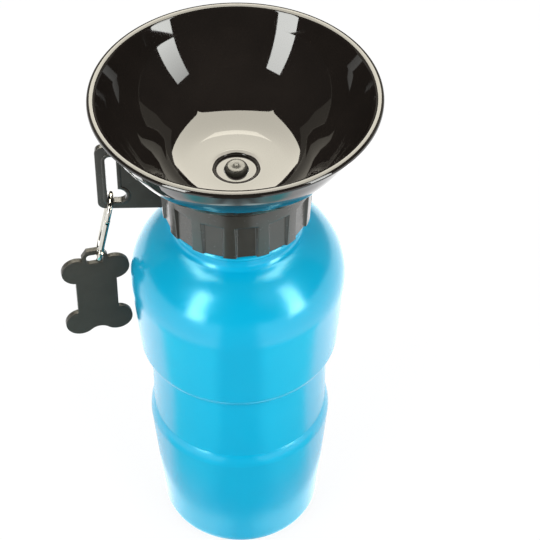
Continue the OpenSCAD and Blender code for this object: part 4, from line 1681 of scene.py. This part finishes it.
@dataclass
class Studio:
    """The camera, the floor, the cards and the lamps.

    Attributes:
        lens: Focal length of the camera.
        eye: Place of the camera.
        pitch: How far it looks down, in degrees.
        yaw: How far it looks to the right, in degrees.
        paper: Colour of the floor where light falls on it.
        paper_share: Share of the floor's own white that the eye and mirrors see.
        cyan_glow: Colour of the painted cyan light that the floor shows in mirrors, in a ring round
            the object.
        strip_x: Middle of the strip of painted shade towards the viewer.
        strip_half: Half of its width beside the object.
        strip_spread: How much wider it is on each side per metre of its length.
        strip_edge: Where its soft edge begins and ends, from its side.
        strip_dark: Light that is left in it.
        near_light: The floor's light close to the object.
        far_light: Its light far from the object.
        far_span: Distances between which it changes.
        back_light: Its light behind the object.
        back_span: Levels along Y between which it changes.
        foot_light: Its light under the object's edge.
        foot_span: Distances between which it ends.
        foot_gap: Light that is left in the middle of the foot's light.
        foot_gap_span: Distances from the middle between which it comes back.
        cyan_glow_in: Distances between which the painted cyan light sets in.
        cyan_glow_out: Distances between which it ends.
        cyan_glow_least: Share of the painted cyan light close to the object.
        sky_fill: Light of the surroundings on faces.
        sky_mirrored: Light of the surroundings in mirrors.
    """

    lens: float = 142.86
    eye: Place = (0.0, -0.6138, 0.7534)
    pitch: float = 45.053
    yaw: float = 1.215
    paper: float = 0.88
    paper_share: float = 0.9
    # painted cyan light: in mirrors the white floor shows this colour in a ring round the object
    cyan_glow: Colour = (0.15, 0.93, 1.0)
    strip_x: float = 0.001
    strip_half: float = 0.008
    strip_spread: float = 0.27
    strip_edge: Point = (-0.004, 0.02)
    strip_dark: float = 0.04
    near_light: float = 1.0
    far_light: float = 2.4
    far_span: Point = (0.06, 0.155)
    back_light: float = 1.2
    back_span: Point = (-0.022, -0.006)
    foot_light: float = 2.3
    foot_span: Point = (0.0445, 0.051)
    foot_gap: float = 0.35
    foot_gap_span: Point = (0.003, 0.018)
    cyan_glow_in: Point = (0.05, 0.065)
    cyan_glow_out: Point = (0.165, 0.19)
    cyan_glow_least: float = 0.3
    sky_fill: float = 0.42
    sky_mirrored: float = 0.03

    def camera(self) -> None:
        """Sets up the camera."""
        data = bpy.data.cameras.new("view")
        data.lens, data.sensor_width = self.lens, 36.0
        data.clip_start, data.clip_end = 0.01, 50.0
        camera = bpy.data.objects.new("view", data)
        bpy.context.scene.collection.objects.link(camera)
        camera.location = self.eye
        camera.rotation_euler = (math.radians(90 - self.pitch), 0, -math.radians(self.yaw))
        bpy.context.scene.camera = camera

    def floor(self) -> None:
        """Lays the pale floor, white to the eye and in mirrors, with a soft shadow on it."""
        bm = bmesh.new()
        bmesh.ops.create_circle(bm, cap_ends=True, radius=6.0, segments=64)
        mesh = bpy.data.meshes.new("floor")
        bm.to_mesh(mesh)
        bm.free()
        graph = Graph("pale paper")
        path = graph.node("LightPath")
        mirrored = path.outputs["Is Glossy Ray"]
        paper = graph.node("BsdfDiffuse", {"Color": (self.paper, self.paper, self.paper, 1)})
        light, cyan_glow = self.mirrored_light(graph)
        strength = graph.between(mirrored, 1.0, light, 0, 1)
        # mirrors see the floor with painted cyan light and painted light and shade, the eye sees it
        # plain white
        colour = graph.blend(graph.math("MULTIPLY", cyan_glow, mirrored), (1, 1, 1), self.cyan_glow)
        white = graph.node("Emission", {"Color": colour, "Strength": strength})
        seen = graph.math("MAXIMUM", path.outputs["Is Camera Ray"], mirrored)
        seen = graph.math("MAXIMUM", seen, path.outputs["Is Transmission Ray"])
        share = graph.math("MULTIPLY", seen, self.paper_share)
        both = graph.node("MixShader", {0: share, 1: paper.outputs[0], 2: white.outputs[0]})
        mesh.materials.append(graph.finish(both.outputs[0]))
        floor = bpy.data.objects.new("floor", mesh)
        bpy.context.scene.collection.objects.link(floor)

    def mirrored_light(self, graph: Graph) -> tuple[Any, Any]:
        """Works out the light and shade painted into the floor as mirrors see it.

        It is bright behind the object and well in front of it, dim close to its
        foot, and dark in a strip that runs from the object to the viewer.

        Args:
            graph: The floor's material.

        Returns:
            The painted brightness, and how far the floor takes the painted cyan light.
        """
        parts = graph.node("SeparateXYZ", {0: graph.place()})
        x, y = parts.outputs["X"], parts.outputs["Y"]
        out = graph.node("VectorMath", {0: graph.place()}, operation="LENGTH").outputs["Value"]
        side = graph.math("ABSOLUTE", graph.math("SUBTRACT", x, self.strip_x))
        spread = graph.math("MULTIPLY", y, self.strip_spread)
        edge = graph.math("SUBTRACT", self.strip_half, spread)
        past = graph.math("SUBTRACT", side, edge)
        clear = graph.between(past, self.strip_dark, 1.0, *self.strip_edge)
        far = graph.between(out, self.near_light, self.far_light, *self.far_span)
        front = graph.math("MULTIPLY", clear, far)
        back = graph.between(y, 0.0, self.back_light, *self.back_span)
        foot = graph.between(out, self.foot_light, 0.0, *self.foot_span)
        gap = graph.between(side, self.foot_gap, 1.0, *self.foot_gap_span)
        foot = graph.math("MULTIPLY", foot, gap)
        light = graph.math("MAXIMUM", graph.math("MAXIMUM", front, back), foot)
        # painted cyan light: a ring round the object, weaker close to it and gone behind it
        begin = graph.between(out, self.cyan_glow_least, 1.0, *self.cyan_glow_in)
        ring = graph.math("MULTIPLY", begin, graph.between(out, 1.0, 0.0, *self.cyan_glow_out))
        cyan_glow = graph.math("MULTIPLY", graph.between(y, 1.0, 0.0, *self.back_span), ring)
        return light, cyan_glow

    def cards(self) -> None:
        """Stands up the soft boxes and the walls that the polished faces mirror."""

        def wall(azimuths: Point, heights: Point, distance: float) -> tuple[Place, ...]:
            """Gives the corners of a card that stands round the bowl.

            Args:
                azimuths: Its two sides, in degrees from the front.
                heights: Its foot and top, in degrees above the bowl.
                distance: Distance from the bowl in metres.

            Returns:
                Its four corners in metres.
            """
            bowl_z = 0.18
            ways = [(a, e) for e, row in zip(heights, (azimuths, azimuths[::-1])) for a in row]
            return tuple(
                (
                    distance * math.sin(math.radians(a)) * math.cos(math.radians(e)),
                    -distance * math.cos(math.radians(a)) * math.cos(math.radians(e)),
                    bowl_z + distance * math.sin(math.radians(e)),
                )
                for a, e in ways
            )

        def ceiling(half: float, front: Point, back: Point) -> tuple[Place, ...]:
            """Gives the corners of a card overhead.

            Args:
                half: Half of its width in metres.
                front: Place along Y and level of its front edge.
                back: Place along Y and level of its back edge.

            Returns:
                Its four corners in metres.
            """
            return (-half, *front), (half, *front), (half, *back), (-half, *back)

        cool, warm = (0.985, 1.0, 0.965), (1.0, 0.945, 0.8)
        for card in (
            Card("right soft box", wall((50, 66), (-7, 38), 1.4), cool, 25, 0.46),
            Card("left soft box", wall((-34, -50), (-5, 40), 1.4), cool, 23, 0.86),
            Card("right wall", wall((105, 160), (-6, 34), 1.5), warm, 0.5),
            Card("left wall", wall((-160, -105), (-6, 34), 1.5), warm, 0.5),
            Card("top soft box", ceiling(0.73, (-0.36, 1.197), (1.06, 0.977)), warm, 16),
            Card("top lamp tube", ceiling(0.08, (0.5, 1.0), (0.67, 0.97)), warm, 23),
        ):
            card.build()

    def lamp(self, name: str, place: Place, size: float, power: float) -> None:
        """Hangs a soft lamp that faces the bottle's middle.

        Args:
            name: Name of the lamp.
            place: Its place in metres.
            size: Side of its square.
            power: Its power in watts.
        """
        aim = (0, 0, 0.12)
        data = bpy.data.lights.new(name, "AREA")
        data.shape, data.size, data.energy = "SQUARE", size, power
        lamp = bpy.data.objects.new(name, data)
        bpy.context.scene.collection.objects.link(lamp)
        lamp.location = place
        lamp.rotation_euler = (Vector(aim) - Vector(place)).to_track_quat("-Z", "Y").to_euler()
        lamp.visible_glossy = False

    def world(self) -> None:
        """Makes the white surroundings, dim in mirrors, that fill the shadows."""
        scene = bpy.context.scene
        scene.world = bpy.data.worlds.new("studio")
        scene.world.use_nodes = True
        tree = scene.world.node_tree
        tree.nodes.clear()
        output = tree.nodes.new("ShaderNodeOutputWorld")
        path = tree.nodes.new("ShaderNodeLightPath")
        seen, fill, dark = (tree.nodes.new("ShaderNodeBackground") for _ in range(3))
        for light, strength in ((seen, 1.0), (fill, self.sky_fill), (dark, self.sky_mirrored)):
            light.inputs["Color"].default_value = (1, 1, 1, 1)
            light.inputs["Strength"].default_value = strength
        first, second = (tree.nodes.new("ShaderNodeMixShader") for _ in range(2))
        tree.links.new(path.outputs["Is Glossy Ray"], first.inputs[0])
        tree.links.new(fill.outputs[0], first.inputs[1])
        tree.links.new(dark.outputs[0], first.inputs[2])
        tree.links.new(path.outputs["Is Camera Ray"], second.inputs[0])
        tree.links.new(first.outputs[0], second.inputs[1])
        tree.links.new(seen.outputs[0], second.inputs[2])
        tree.links.new(second.outputs[0], output.inputs[0])

    def build(self) -> None:
        """Sets up the whole studio."""
        self.camera()
        self.floor()
        self.cards()
        self.lamp("left lamp", (-0.9, -0.9, 1.1), 0.9, 14)
        self.lamp("right lamp", (0.9, -0.9, 1.1), 0.9, 14)
        self.lamp("top lamp", (0.0, 0.3, 1.5), 1.0, 12)
        self.world()
        bpy.context.scene.view_settings.view_transform = "Standard"


def main() -> None:
    """Builds the object and its studio."""
    logging.basicConfig(level=logging.INFO, format="%(name)s: %(message)s")
    finishes = Finishes()
    studio = Studio()
    studio.build()
    for part in (Bottle(), Bowl(), Valve(), Collar(), SnapHook(), BoneTag()):
        part.build(finishes)
    InnerParts().dress(finishes)


if __name__ == "__main__":
    main()
